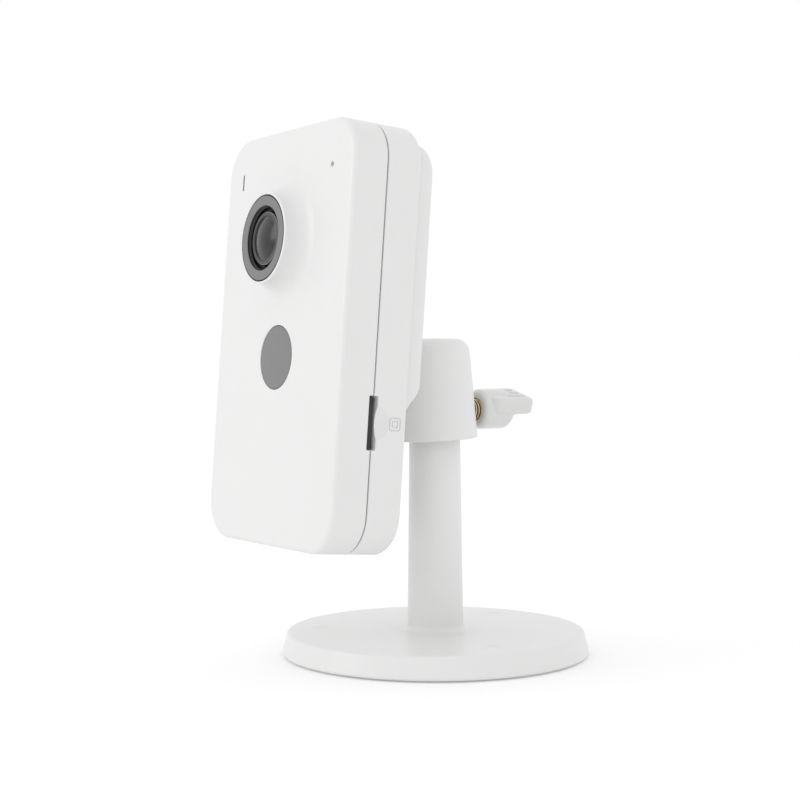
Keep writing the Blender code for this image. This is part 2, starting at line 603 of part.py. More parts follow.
# ---- head shells ------------------------------------------------------------------------------
SEAM = FRONT_DEPTH + GAP                   # where the rear shell starts
INNER_BACK = SHELL_DEPTH - REAR_WALL
MOUNT_HEIGHT = -HEAD_RISE                  # the neck's axis, up the face
PIR_HOLE = PIR_RADIUS + GAP
POST_BORE = HOUSING_SCREW_RADIUS + THREAD_GAP
FRONT_POST_RADIUS = POST_BORE + HOUSING_POST_WALL
HEAD_ROOM = HOUSING_SCREW_HEAD_RADIUS + GAP
REAR_POST_RADIUS = HEAD_ROOM + 0.9 * mm
FRONT_POST_END = BOARD_FRONT - 2 * GAP


def head_outline(name, start, stop, inset, frame, **edges):
    """A slab with the head's outline, from start to stop behind the front face."""
    size = (HEAD_WIDTH - 2 * inset, stop - start, HEAD_HEIGHT - 2 * inset)
    return block(name, size, parent=frame, location=(0, (start + stop) / 2, 0),
                 corner=HEAD_CORNER - inset, **edges)


def card_slot(name, frame):
    """The slot in the head's side, across the seam."""
    depth = REAR_SIDE_WALL + 2 * mm
    return block(name, (2 * depth, CARD_SLOT_WIDTH, CARD_SLOT_LENGTH), parent=frame,
                 location=(HEAD_WIDTH / 2, CARD_DEPTH, CARD_HEIGHT))


def make_front_shell(frame):
    shell = head_outline("front_shell", 0, FRONT_DEPTH, 0, frame, finish=WHITE,
                         front_edge=FRONT_EDGE)
    cut(shell, head_outline("front_cavity", FRONT_WALL, FRONT_DEPTH + mm, SIDE_WALL, frame))

    radius, bore, out = LENS_BEZEL_RADIUS, LENS_BEZEL_BORE, LENS_BEZEL_DEPTH
    fillet, rim_edge = LENS_BEZEL_FILLET, LENS_RIM_EDGE
    behind = -FRONT_WALL / 2
    at = {"parent": frame, "location": (0, 0, LENS_HEIGHT), "rotation": FORWARD}
    cut(shell, rod("lens_hole", bore + rim_edge, -FRONT_DEPTH, mm, steps=ROUND_STEPS, **at))
    outline = arc(radius - rim_edge, out - rim_edge, rim_edge, 90, 0, 2)
    outline += arc(radius + fillet, fillet, fillet, 180, 270, 4)[:-1]
    outline += [(radius + fillet, behind), (bore, behind), (bore, out)]
    join(shell, turned("lens_bezel", outline, steps=ROUND_STEPS, ring=True, **at))

    floor = HOUSING_SCREW_SEAT - HOUSING_SCREW_LENGTH - GAP
    end, outer = FRONT_POST_END, FRONT_POST_RADIUS
    for i, (x, z) in enumerate(HOUSING_SCREW_PLACES):
        join(shell, turned(f"front_post_{i}", [(0, floor), (POST_BORE, floor), (POST_BORE, end),
                                               (outer, end), (outer, FRONT_WALL / 2),
                                               (0, FRONT_WALL / 2)],
                           None, frame, (x, 0, z), BACKWARD, steps=FINE_STEPS))

    pir_bore = rod("pir_bore", PIR_HOLE, -FRONT_DEPTH, mm, parent=frame,
                   location=(0, 0, PIR_HEIGHT), rotation=FORWARD, steps=ROUND_STEPS)
    slit_width = INDICATOR_WIDTH + 2 * GAP
    slit = block("indicator_slit", (slit_width, 6 * FRONT_WALL, INDICATOR_LENGTH + 2 * GAP),
                 parent=frame, location=(INDICATOR_X, 0, MARKS_HEIGHT),
                 corner=slit_width * 0.45, corner_steps=3)
    mic = rod("mic_hole", MIC_HOLE_RADIUS, -FRONT_DEPTH / 2, mm, parent=frame,
              location=(MIC_X, 0, MARKS_HEIGHT), rotation=FORWARD, steps=FINE_STEPS)
    cut(shell, pir_bore, slit, mic, card_slot("front_card_slot", frame))


def block_slab(name, stop, inset, frame):
    """The raised block on the head's back, its lower end sloping in."""
    start = FRONT_DEPTH + 4 * mm
    low = BLOCK_SLOPE_FOOT - (BLOCK_DEPTH - SHELL_DEPTH)
    top = BLOCK_TOP - inset
    width = HEAD_WIDTH - 2 * BLOCK_INSET - 2 * inset
    edge = {} if inset else {"rear_edge": REAR_EDGE}
    slab = block(name, (width, stop - start, 2 * (top - low)), parent=frame,
                 location=(0, (start + stop) / 2, low), corner=BLOCK_CORNER - inset, **edge)
    slope = (BLOCK_DEPTH - SHELL_DEPTH) / (BLOCK_SLOPE_TOP - BLOCK_SLOPE_FOOT)
    run = 20 * mm
    drop = inset * math.hypot(1, slope)
    foot = (SHELL_DEPTH - drop - slope * run, BLOCK_SLOPE_FOOT - run)
    past = (SHELL_DEPTH - drop + slope * run, BLOCK_SLOPE_FOOT + run)
    bottom = low - (top - low) - run
    away = wedge(f"{name}_slope", [foot, past, (past[0], bottom), (foot[0], bottom)],
                 HEAD_WIDTH, parent=frame)
    cut(slab, away)
    return slab


def make_rear_shell(frame):
    shell = head_outline("rear_shell", SEAM, SHELL_DEPTH, 0, frame, finish=WHITE,
                         rear_edge=REAR_EDGE)
    lip = head_outline("lip", SEAM - LIP_LENGTH, SEAM + mm, SIDE_WALL + GAP, frame)
    at = {"parent": frame, "location": (0, 0, MOUNT_HEIGHT), "rotation": BACKWARD}
    boss = rod("mount_boss", MOUNT_BOSS_RADIUS, INNER_BACK + GAP, MOUNT_BACK, steps=32,
               chamfer=GAP, **at)
    join(shell, lip, block_slab("raised_block", BLOCK_DEPTH, 0, frame), boss)

    cavity = head_outline("rear_cavity", SEAM - 2 * LIP_LENGTH, INNER_BACK, REAR_SIDE_WALL, frame)
    upper = block_slab("block_cavity", BLOCK_DEPTH - REAR_WALL, REAR_WALL, frame)
    nut_room, shank_room = WASHER_RADIUS + 2 * GAP, STUD_SHANK_RADIUS + GAP
    nut_floor = MOUNT_BACK - REAR_WALL
    stud_room = turned("stud_room", [(0, MOUNT_BACK + mm), (shank_room, MOUNT_BACK + mm),
                                     (shank_room, nut_floor), (nut_room, nut_floor),
                                     (nut_room, FRONT_DEPTH), (0, FRONT_DEPTH)],
                       steps=32, **at)
    cut(shell, cavity, upper, stud_room)

    post_low = BOARD_FRONT
    for i, (x, z) in enumerate(HOUSING_SCREW_PLACES):
        at = {"parent": frame, "location": (x, 0, z), "rotation": BACKWARD, "steps": FINE_STEPS}
        back = BLOCK_DEPTH if z > BLOCK_SLOPE_TOP else SHELL_DEPTH
        join(shell, rod(f"rear_post_{i}", REAR_POST_RADIUS, post_low, back - REAR_WALL / 2, **at))
        cut(shell, turned(f"rear_post_bore_{i}",
                          [(0, back + mm), (HEAD_ROOM, back + mm), (HEAD_ROOM, HOUSING_SCREW_SEAT),
                           (POST_BORE, HOUSING_SCREW_SEAT), (POST_BORE, post_low - mm),
                           (0, post_low - mm)], **at))

    speaker_x, speaker_z = SPEAKER_PLACE
    for i in range(GRILLE_SLOTS):
        z = (i - (GRILLE_SLOTS - 1) / 2) * GRILLE_SLOT_PITCH
        half = math.sqrt((SPEAKER_RADIUS - GRILLE_MARGIN) ** 2 - z ** 2)
        cut(shell, block(f"grille_slot_{i}", (2 * half, 6 * mm, GRILLE_SLOT_WIDTH), parent=frame,
                         location=(speaker_x, SHELL_DEPTH, speaker_z + z)))
    reset_x, reset_z = RESET_PLACE
    cut(shell, rod("reset_hole", RESET_RADIUS + GAP, INNER_BACK - mm, SHELL_DEPTH + mm,
                   parent=frame, location=(reset_x, 0, reset_z), rotation=BACKWARD, steps=20))
    width, thick, _ = POWER_SOCKET
    cut(shell, block("power_opening", (width + 2 * GAP, thick + 2 * GAP, 10 * mm), parent=frame,
                     location=(POWER_SOCKET_X, power_socket_depth(), -HEAD_HEIGHT / 2)))
    scoop_x = HEAD_WIDTH / 2 + THUMB_SCOOP_RADIUS - THUMB_SCOOP_DEPTH
    cut(shell, card_slot("rear_card_slot", frame),
        ball("thumb_scoop", THUMB_SCOOP_RADIUS, parent=frame,
             location=(scoop_x, CARD_DEPTH + THUMB_SCOOP_BACK, CARD_HEIGHT)))


def make_housing_screws(frame):
    for i, (x, z) in enumerate(HOUSING_SCREW_PLACES):
        seat = HOUSING_SCREW_SEAT + GAP
        top = seat + HOUSING_SCREW_HEAD
        end = HOUSING_SCREW_SEAT - HOUSING_SCREW_LENGTH
        head, shank = HOUSING_SCREW_HEAD_RADIUS, HOUSING_SCREW_RADIUS
        screw = turned(f"housing_screw_{i + 1}",
                       [(0, top), (head - GAP, top), (head, top - GAP), (head, seat), (shank, seat),
                        (shank, end + shank), (shank / 3, end), (0, end)],
                       STEEL, frame, (x, 0, z), BACKWARD, steps=FINE_STEPS)
        for turn in (0, math.pi / 2):
            cut(screw, block(f"drive_{i}_{turn > 0}", (2.6 * mm, 1.6 * mm, 0.5 * mm),
                             parent=frame, location=(x, top, z), rotation=(0, turn, 0)))


# ---- lens -------------------------------------------------------------------------------------
TRIM_FACE = LENS_BEZEL_DEPTH - TRIM_RING_SET      # in front of the head's face
BARREL_FACE = LENS_BEZEL_DEPTH - BARREL_SET
SENSOR_FACE = -(BOARD_FRONT - GAP - SENSOR_THICKNESS)


def make_lens(frame):
    at = {"parent": frame, "location": (0, 0, LENS_HEIGHT), "rotation": FORWARD}
    outer = LENS_BEZEL_BORE - GAP
    low = TRIM_FACE - TRIM_RING_THICKNESS
    bevel = 0.5 * mm
    turned("lens_trim_ring", [(TRIM_RING_BORE, TRIM_FACE), (outer, TRIM_FACE), (outer, low),
                              (TRIM_RING_BORE - bevel, low),
                              (TRIM_RING_BORE - bevel, TRIM_FACE - 2 * bevel)],
           GREY, steps=ROUND_STEPS, ring=True, **at)

    seal_high = low - GAP
    seal_low = seal_high - 1.4 * mm
    bore = BARREL_RADIUS + GAP
    turned("lens_seal", [(bore, seal_high), (outer, seal_high), (outer, seal_low),
                         (bore, seal_low)], RUBBER, steps=ROUND_STEPS, ring=True, **at)

    face, body = BARREL_FACE, BARREL_BODY_RADIUS
    pocket = GLASS_RADIUS + GAP
    back = face - BARREL_LENGTH
    shoulder = seal_low - GAP
    glass_seat = face - 2.6 * mm
    rear_pocket = REAR_GLASS_RADIUS + GAP
    rear_seat = back + 2.4 * mm
    stop = 2.2 * mm
    turned("lens_barrel",
           [(pocket, face), (BARREL_RADIUS - GAP, face), (BARREL_RADIUS, face - GAP),
            (BARREL_RADIUS, shoulder), (body, shoulder), (body, back), (rear_pocket, back),
            (rear_pocket, rear_seat), (stop, rear_seat + mm), (stop, glass_seat - mm),
            (pocket, glass_seat)],
           BLACK, steps=ROUND_STEPS, ring=True, **at)

    rim = face - 1.2 * mm
    sphere = (GLASS_RADIUS ** 2 + GLASS_CROWN ** 2) / (2 * GLASS_CROWN)
    open_angle = math.degrees(math.asin(GLASS_RADIUS / sphere))
    crown = arc(0, rim + GLASS_CROWN - sphere, sphere, 90, 90 - open_angle, 4)[1:]
    turned("lens_front_element",
           [(0, rim + GLASS_CROWN)] + crown + [(GLASS_RADIUS, rim - 0.9 * mm),
                                              (0, rim - 0.9 * mm)],
           GLASS, steps=ROUND_STEPS, **at)
    rod("lens_rear_element", REAR_GLASS_RADIUS, back + GAP, rear_seat - GAP, GLASS,
        chamfer=GAP, **at)

    holder = block("lens_holder", (LENS_HOLDER_WIDTH, LENS_HOLDER_DEPTH, LENS_HOLDER_WIDTH),
                   BLACK, frame, (0, BOARD_FRONT - GAP - LENS_HOLDER_DEPTH / 2, LENS_HEIGHT),
                   corner=1.5 * mm, corner_steps=3)
    cut(holder, rod("holder_bore", body + THREAD_GAP, -2 * BOARD_FRONT, BOARD_FRONT, **at))
    block("image_sensor", (SENSOR_WIDTH, SENSOR_THICKNESS, SENSOR_WIDTH), CHIP, frame,
          (0, BOARD_FRONT - GAP - SENSOR_THICKNESS / 2, LENS_HEIGHT))


# ---- other front pieces -----------------------------------------------------------------------
def make_motion_sensor(frame):
    at = {"parent": frame, "location": (0, 0, PIR_HEIGHT), "rotation": FORWARD}
    behind = -(FRONT_WALL + GAP)
    edge = 0.2 * mm
    flange = PIR_RADIUS + PIR_FLANGE
    turned("pir_window", [(0, 0), (PIR_RADIUS - edge, 0), (PIR_RADIUS, -edge),
                          (PIR_RADIUS, behind), (flange, behind),
                          (flange, behind - mm), (PIR_RADIUS - mm, behind - mm),
                          (PIR_RADIUS - mm, -PIR_WINDOW_THICKNESS), (0, -PIR_WINDOW_THICKNESS)],
           GREY_WINDOW, steps=ROUND_STEPS, **at)
    foot = -(BOARD_FRONT - GAP)
    top = foot + PIR_CAN_HEIGHT
    can, brim = PIR_CAN_RADIUS - 0.4 * mm, 0.6 * mm
    sensor = turned("pir_sensor", [(0, top), (can, top), (can, foot + brim),
                                   (PIR_CAN_RADIUS, foot + brim), (PIR_CAN_RADIUS, foot),
                                   (0, foot)], ZINC, **at)
    cut(sensor, block("pir_can_window", (4.0 * mm, 1.0 * mm, 3.0 * mm), parent=frame,
                      location=(0, -top, PIR_HEIGHT)))


def make_indicator_and_microphone(frame):
    length, width = INDICATOR_LENGTH, INDICATOR_WIDTH
    behind = FRONT_WALL + GAP
    pipe = block("light_pipe", (width, behind + GAP, length), CLEAR, frame,
                 (INDICATOR_X, (behind + GAP) / 2, MARKS_HEIGHT), corner=width * 0.45,
                 corner_steps=3)
    wide = width + 2 * mm
    join(pipe, block("pipe_foot", (wide, 4 * mm, length + 2 * mm), parent=frame,
                     location=(INDICATOR_X, behind + 2 * mm, MARKS_HEIGHT)))
    led = (1.6 * mm, 0.8 * mm, 3.0 * mm)
    block("indicator_led", led, CLEAR, frame,
          (INDICATOR_X, BOARD_FRONT - GAP - led[1] / 2, MARKS_HEIGHT))

    at = {"parent": frame, "location": (MIC_X, 0, MARKS_HEIGHT), "rotation": BACKWARD}
    seal = 1.2 * mm
    turned("mic_gasket", [(MIC_HOLE_RADIUS + GAP, behind + seal), (MIC_RADIUS, behind + seal),
                          (MIC_RADIUS, behind), (MIC_HOLE_RADIUS + GAP, behind)],
           RUBBER, ring=True, steps=20, **at)
    rod("microphone", MIC_RADIUS, behind + seal + GAP, behind + seal + GAP + MIC_THICKNESS, ZINC,
        steps=20, **at)


# ---- board and its parts ----------------------------------------------------------------------
BOARD_BACK = BOARD_FRONT + BOARD_THICKNESS
BEHIND_BOARD = BOARD_BACK + GAP
CARD_CHANNEL_THICKNESS = CARD_THICKNESS + 2 * GAP
CARD_SOCKET_END = HEAD_WIDTH / 2 - REAR_SIDE_WALL - GAP


def power_socket_depth():
    return BEHIND_BOARD + POWER_SOCKET[1] / 2


def make_board(frame):
    inset = REAR_SIDE_WALL + BOARD_MARGIN
    board = block("main_board", (HEAD_WIDTH - 2 * inset, BOARD_THICKNESS, HEAD_HEIGHT - 2 * inset),
                  BOARD_GREEN, frame, (0, BOARD_FRONT + BOARD_THICKNESS / 2, 0),
                  corner=HEAD_CORNER - inset, corner_steps=4)
    for i, (x, z) in enumerate(HOUSING_SCREW_PLACES):
        cut(board, rod(f"post_room_{i}", REAR_POST_RADIUS + GAP, 0, SHELL_DEPTH, parent=frame,
                       location=(x, 0, z), rotation=BACKWARD, steps=FINE_STEPS))

    thick = PROCESSOR_THICKNESS
    centre = (0, BEHIND_BOARD + thick / 2, LENS_HEIGHT - 2 * mm)
    block("processor", (PROCESSOR_WIDTH, thick, PROCESSOR_WIDTH), CHIP, frame, centre)
    plate = 1.2 * mm
    sink_front = BEHIND_BOARD + thick + GAP
    sink = block("heat_sink", (HEAT_SINK_WIDTH, plate, HEAT_SINK_WIDTH), ALUMINIUM, frame,
                 (0, sink_front + plate / 2, centre[2]))
    pitch = HEAT_SINK_WIDTH / HEAT_SINK_FINS
    tall = HEAT_SINK_HEIGHT - plate / 2
    for i in range(HEAT_SINK_FINS):
        x = (i - (HEAT_SINK_FINS - 1) / 2) * pitch
        join(sink, block(f"fin_{i}", (1.2 * mm, tall, HEAT_SINK_WIDTH - 2 * GAP), parent=frame,
                         location=(x, sink_front + plate / 2 + tall / 2, centre[2])))

    x, z = WIFI_PLACE
    block("wifi_module", WIFI_CAN, ZINC, frame, (x, BEHIND_BOARD + WIFI_CAN[1] / 2, z),
          corner=0.6 * mm, corner_steps=2)
    block("wifi_antenna", ANTENNA, BLACK, frame,
          (0, BLOCK_DEPTH - REAR_WALL - 2 * GAP - ANTENNA[1] / 2, ANTENNA_HEIGHT))
    x, z = CAPACITOR_PLACE
    rod("power_capacitor", CAPACITOR_RADIUS, BEHIND_BOARD, BEHIND_BOARD + CAPACITOR_HEIGHT,
        ALUMINIUM, frame, (x, 0, z), BACKWARD, steps=20)
    x, z = INDUCTOR_PLACE
    block("power_inductor", INDUCTOR, CHIP, frame, (x, BEHIND_BOARD + INDUCTOR[1] / 2, z),
          corner=0.8 * mm, corner_steps=2)


def make_speaker(frame):
    x, z = SPEAKER_PLACE
    back = INNER_BACK - GAP
    front = back - SPEAKER_DEPTH
    rim = SPEAKER_RADIUS
    turned("speaker", [(0, back - 0.8 * mm), (rim * 0.35, back - 0.4 * mm),
                       (rim * 0.75, back - 0.9 * mm), (rim * 0.85, back), (rim, back),
                       (rim, back - 1.2 * mm), (rim * 0.7, front + mm),
                       (rim * 0.7, front), (0, front)], BLACK, frame, (x, 0, z),
           BACKWARD, steps=24)


def make_power_socket(frame):
    """The power inlet, its mouth at the head's underside."""
    width, thick, deep = POWER_SOCKET
    mouth = -HEAD_HEIGHT / 2 + 0.8 * mm
    wall = POWER_SOCKET_WALL
    depth = power_socket_depth()
    socket = block("power_socket", (width, thick, deep), ZINC, frame,
                   (POWER_SOCKET_X, depth, mouth + deep / 2))
    cut(socket, block("socket_mouth", (width - 2 * wall, thick - 2 * wall, 2 * (deep - wall)),
                      parent=frame, location=(POWER_SOCKET_X, depth, mouth)))
    tongue = 0.6 * mm
    join(socket, block("socket_tongue", (width - 4 * wall, tongue, deep - 2 * wall), parent=frame,
                       location=(POWER_SOCKET_X, depth, mouth + deep / 2 + wall)))


def make_card_and_socket(frame):
    wall, skin = CARD_SOCKET_WALL, CARD_SOCKET_SKIN
    channel = CARD_WIDTH + 2 * GAP
    outer_end = HEAD_WIDTH / 2 - CARD_SET
    inner_end = outer_end - CARD_LENGTH
    start = inner_end - GAP - wall
    length = CARD_SOCKET_END - start
    socket = block("card_socket", (length, CARD_CHANNEL_THICKNESS + 2 * skin, channel + 2 * wall),
                   ZINC, frame, (start + length / 2, CARD_DEPTH, CARD_HEIGHT))
    cut(socket, block("card_channel", (length, CARD_CHANNEL_THICKNESS, channel), parent=frame,
                      location=(start + wall + length / 2, CARD_DEPTH, CARD_HEIGHT)))
    card = block("micro_sd_card", (CARD_LENGTH, CARD_THICKNESS, CARD_WIDTH), BLACK, frame,
                 (outer_end - CARD_LENGTH / 2, CARD_DEPTH, CARD_HEIGHT))
    shoulder = 1.3 * mm
    cut(card, block("card_shoulder", (2 * 6.4 * mm, 2 * mm, 2 * shoulder), parent=frame,
                    location=(inner_end, CARD_DEPTH, CARD_HEIGHT + CARD_WIDTH / 2)))


def make_reset_button(frame):
    x, z = RESET_PLACE
    width, high = RESET_SWITCH_WIDTH, RESET_SWITCH_HEIGHT
    block("reset_switch", (width, high, width), BLACK, frame, (x, BEHIND_BOARD + high / 2, z))
    front = BEHIND_BOARD + high + RESET_TRAVEL + GAP
    collar = INNER_BACK - GAP
    brim = RESET_RADIUS + 0.9 * mm
    turned("reset_button", [(0, SHELL_DEPTH - GAP), (RESET_RADIUS - GAP, SHELL_DEPTH - GAP),
                            (RESET_RADIUS, SHELL_DEPTH - 2 * GAP), (RESET_RADIUS, collar),
                            (brim, collar), (brim, collar - 0.6 * mm),
                            (RESET_RADIUS / 2, collar - 0.6 * mm),
                            (RESET_RADIUS / 2, front), (0, front)],
           GREY, frame, (x, 0, z), BACKWARD, steps=20)


def main():
    make_stand()
    make_ballast()
    make_pad()
    pan = empty("pan_pivot")
    make_hood(pan)
    make_retaining_ring(pan)
    make_clamp(pan)
    tilt = empty("tilt_pivot", pan, (0, 0, BALL_HEIGHT), (-TILT_REST, 0, 0))
    make_ball_stud(tilt)
    head = empty("head_frame", tilt, (0, -HEAD_REACH, HEAD_RISE))
    make_front_shell(head)
    make_rear_shell(head)
    make_housing_screws(head)
    make_lens(head)
    make_motion_sensor(head)
    make_indicator_and_microphone(head)
    make_board(head)
    make_speaker(head)
    make_power_socket(head)
    make_card_and_socket(head)
    make_reset_button(head)
    bpy.context.view_layer.update()


main()
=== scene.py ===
"""Looks of a small indoor security camera: a slim head on a ball joint over a round stand.

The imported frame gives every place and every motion. The pieces that show are made again here with
real edge radii, threads, screws, vents and finishes, and each one rides on its body of the frame.
"""

import json
import math

import bmesh
import bpy
from bpy.props import FloatProperty, FloatVectorProperty, IntProperty, PointerProperty
from mathutils import Matrix, Vector


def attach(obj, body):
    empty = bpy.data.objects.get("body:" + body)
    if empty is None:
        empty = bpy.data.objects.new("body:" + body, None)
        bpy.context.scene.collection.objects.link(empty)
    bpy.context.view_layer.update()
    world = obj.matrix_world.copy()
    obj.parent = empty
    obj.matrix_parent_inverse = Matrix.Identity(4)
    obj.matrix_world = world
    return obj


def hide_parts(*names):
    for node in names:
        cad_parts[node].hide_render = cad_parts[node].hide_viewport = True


bl_info = {
    "name": "Indoor Security Camera",
    "version": (1, 0, 0),
    "blender": (4, 5, 0),
    "location": "View3D > Sidebar > Security Camera",
    "description": "Builds the shells, lens, stand and clamp of an indoor security camera",
    "category": "Object",
}

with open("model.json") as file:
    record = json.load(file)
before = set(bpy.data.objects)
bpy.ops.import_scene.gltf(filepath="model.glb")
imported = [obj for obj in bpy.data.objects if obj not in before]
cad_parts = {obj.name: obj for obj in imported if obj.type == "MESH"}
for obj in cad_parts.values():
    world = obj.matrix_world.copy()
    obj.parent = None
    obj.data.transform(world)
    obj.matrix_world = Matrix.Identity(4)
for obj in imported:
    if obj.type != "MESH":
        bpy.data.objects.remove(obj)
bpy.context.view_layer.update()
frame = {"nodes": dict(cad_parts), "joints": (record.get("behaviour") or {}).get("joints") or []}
JOINTS = {joint["name"]: joint for joint in frame["joints"]}

mm = 0.001
GAP = 0.3 * mm
BALL_CENTRE = Vector(JOINTS["tilt"]["pos_m"])
ROLL_AXIS = Vector(JOINTS["roll"]["axis"])
LEAN = math.asin(ROLL_AXIS.z)
HOLDING = Matrix.Translation(BALL_CENTRE) @ Matrix.Rotation(-LEAN, 4, "X")  # the ball's own frame


def length(name, description, default):
    return FloatProperty(name=name, description=description, default=default * mm,
                         unit="LENGTH", precision=5)


def angle(name, description, default):
    return FloatProperty(name=name, description=description, default=math.radians(default),
                         subtype="ANGLE", unit="ROTATION")


def count(name, description, default):
    return IntProperty(name=name, description=description, default=default, min=1)


def share(name, description, default):
    return FloatProperty(name=name, description=description, default=default, min=0.0, max=1.0,
                         subtype="FACTOR")


def colour(name, description, default):
    return FloatVectorProperty(name=name, description=description, default=default, size=3,
                               min=0.0, max=1.0, subtype="COLOR")


# ---- sizes a user may change --------------------------------------------------------------------
class StandSizes(bpy.types.PropertyGroup):
    base_radius: length("Base radius", "Radius of the disc at the foot of its rim", 37.5)
    base_top_radius: length("Top radius", "Radius of the disc at the top of its rim", 36.2)
    base_top: length("Base height", "Height of the disc's upper face", 5.83)
    underside: length("Underside", "Height of the rim's lower edge", 0.4)
    plate: length("Plate", "Thickness of the disc's top plate", 2.2)
    rim_wall: length("Rim wall", "Thickness of the disc's rim", 3.0)
    edge: length("Edge radius", "Rounding of the disc's edges", 0.75)
    foot_radius: length("Column foot radius", "Column radius where it meets the disc", 6.84)
    top_radius: length("Column top radius", "Column radius under the hood", 6.22)
    foot_fillet: length("Foot fillet", "Fillet between column and disc", 1.6)
    shoulder: length("Shoulder", "Height where the column narrows", 53.1)
    spigot: length("Spigot radius", "Radius of the column's end inside the hood", 6.0)
    spigot_top: length("Spigot top", "Height of the column's end", 56.6)
    hole_radius: length("Hole radius", "Radius of the knock-out screw holes in the disc", 2.1)
    hole_circle: length("Hole circle", "Radius of the circle that the holes lie on", 28.0)
    hole_turn: angle("Hole turn", "Direction of the first hole", -7.3)
    holes: count("Holes", "Number of screw holes", 3)
    hole_skin: length("Hole skin", "Thickness that closes each hole until it is opened", 0.6)
    pad_thickness: length("Pad thickness", "Thickness of the anti-slip pad", 0.6)
    stud_pitch: length("Stud pitch", "Distance between the pad's small studs", 2.4)


class HoodSizes(bpy.types.PropertyGroup):
    rim: length("Rim", "Height of the lower rim on the axis", 52.5)
    rim_radius: length("Rim radius", "Outer radius at the rim", 10.5)
    rim_wall: length("Rim wall", "Thickness of the wall at the rim", 1.3)
    slant: angle("Rim slant", "How far the rim dips towards the front", 3.0)
    top: length("Top", "Height of the hood's top", 76.9)
    top_radius: length("Top radius", "Outer radius at the top, before its rounding", 8.35)
    top_fillet: length("Top rounding", "Rounding of the top edge", 3.5)
    bearing: length("Bearing", "Height where the bore closes in on the column", 53.4)
    bore: length("Bore", "Radius of the bore round column and ball", 6.3)
    neck_gap: length("Neck gap", "Gap at each side of the neck in its window", 0.5)
    window_low: length("Window foot", "Height of the neck window's lower end", 59.7)
    window_high: length("Window top", "Height of the neck window's upper end", 73.2)


class JointSizes(bpy.types.PropertyGroup):
    ball: length("Ball radius", "Radius of the ball", 6.0)
    neck: length("Neck radius", "Radius of the neck", 3.6)
    flange: length("Flange radius", "Radius of the flange behind the head", 7.6)
    flange_thickness: length("Flange thickness", "Thickness of the flange", 1.6)
    shank: length("Shank radius", "Radius of the shank inside the head", 4.0)
    shank_length: length("Shank length", "Length of the shank inside the head", 6.6)


class ClampSizes(bpy.types.PropertyGroup):
    height: length("Screw height", "Height of the thumb screw's axis", 59.5)
    crest: length("Thread radius", "Radius at the crest of the thread", 2.6)
    thread_depth: length("Thread depth", "Depth of the thread", 0.42)
    pitch: length("Pitch", "Pitch of the thread", 0.8)
    tip: length("Tip", "Distance of the screw's tip from the column's axis", 7.3)
    screw_length: length("Screw length", "Length of the threaded part", 9.6)
    knob_front: length("Knob front", "Distance of the knob's face from the column's axis", 12.3)
    knob_end: length("Knob end", "Distance of the knob's end from the column's axis", 26.9)
    hub_radius: length("Hub radius", "Radius of the knob's hub", 5.0)
    hub_length: length("Hub length", "Length of the knob's hub", 9.8)
    paddle_width: length("Paddle width", "Width of the knob's paddle", 10.9)
    paddle_thickness: length("Paddle thickness", "Thickness of the knob's paddle", 4.3)
    paddle_start: length("Paddle start", "Where the paddle starts along the axis", 14.0)
    paddle_rise: length("Paddle rise", "The paddle's middle above the axis", 1.9)
    paddle_turn: angle("Paddle turn", "How far the knob is turned about its axis", 15.0)
    ribs: count("Ribs", "Grip ribs on the paddle", 3)
    rib_pitch: length("Rib pitch", "Distance between the grip ribs", 2.7)


class HeadSizes(bpy.types.PropertyGroup):
    reach: length("Reach", "From the ball's centre forward to the front face", 44.62)
    rise: length("Rise", "From the neck's axis up to the middle of the face", 9.72)
    width: length("Width", "Width of the head", 58.5)
    height: length("Height", "Height of the head", 95.7)
    corner: length("Corner", "Corner radius of the head", 9.4)
    front_edge: length("Front edge", "Rounding of the front face's edge", 1.3)
    rear_edge: length("Rear edge", "Rounding of the back's edges", 1.9)
    front_depth: length("Front shell depth", "Depth of the front shell", 8.6)
    shell_depth: length("Shell depth", "From the face to the back of the rear shell", 18.1)
    block_depth: length("Block depth", "From the face to the back of the raised block", 22.3)
    front_wall: length("Front wall", "Thickness of the front wall", 2.0)
    side_wall: length("Side wall", "Thickness of the front shell's sides", 1.6)
    rear_wall: length("Rear wall", "Thickness of the back", 1.8)
    rear_side_wall: length("Rear side wall", "Thickness of the rear shell's sides", 2.6)
    block_inset: length("Block inset", "The raised block's sides, in from the head's", 1.5)
    block_top: length("Block top", "The block's top edge above the middle", 44.8)
    block_corner: length("Block corner", "Corner radius of the block", 8.0)
    slope_top: length("Slope top", "Where the block's lower end starts to slope", -10.2)
    slope_foot: length("Slope foot", "Where the slope meets the shell's back", -15.8)
    boss_radius: length("Boss radius", "Radius of the boss round the stud", 9.5)
    boss_step: length("Boss step", "How far the boss stands behind the block", 0.4)
    screw_span: length("Screw span", "Distance across between the housing screws", 41.0)
    screw_rise: length("Screw rise", "Distance up between the housing screws", 65.5)
    screw_middle: length("Screw middle", "Middle of the screws above the face's middle", -6.75)
    screw_seat: length("Screw seat", "Where the screw heads sit behind the face", 13.2)
    grille_x: length("Grille place", "The speaker's place across", -10.5)
    grille_z: length("Grille height", "The speaker's place up the face", -30.0)
    grille_radius: length("Grille radius", "Radius of the field of sound slots", 7.4)
    grille_slot: length("Slot width", "Width of a sound slot", 1.2)
    grille_pitch: length("Slot pitch", "Distance between sound slots", 2.6)
    grille_slots: count("Slots", "Number of sound slots", 5)
    reset_x: length("Reset place", "The reset button's place across", 13.0)
    reset_z: length("Reset height", "The reset button's place up the face", -27.0)


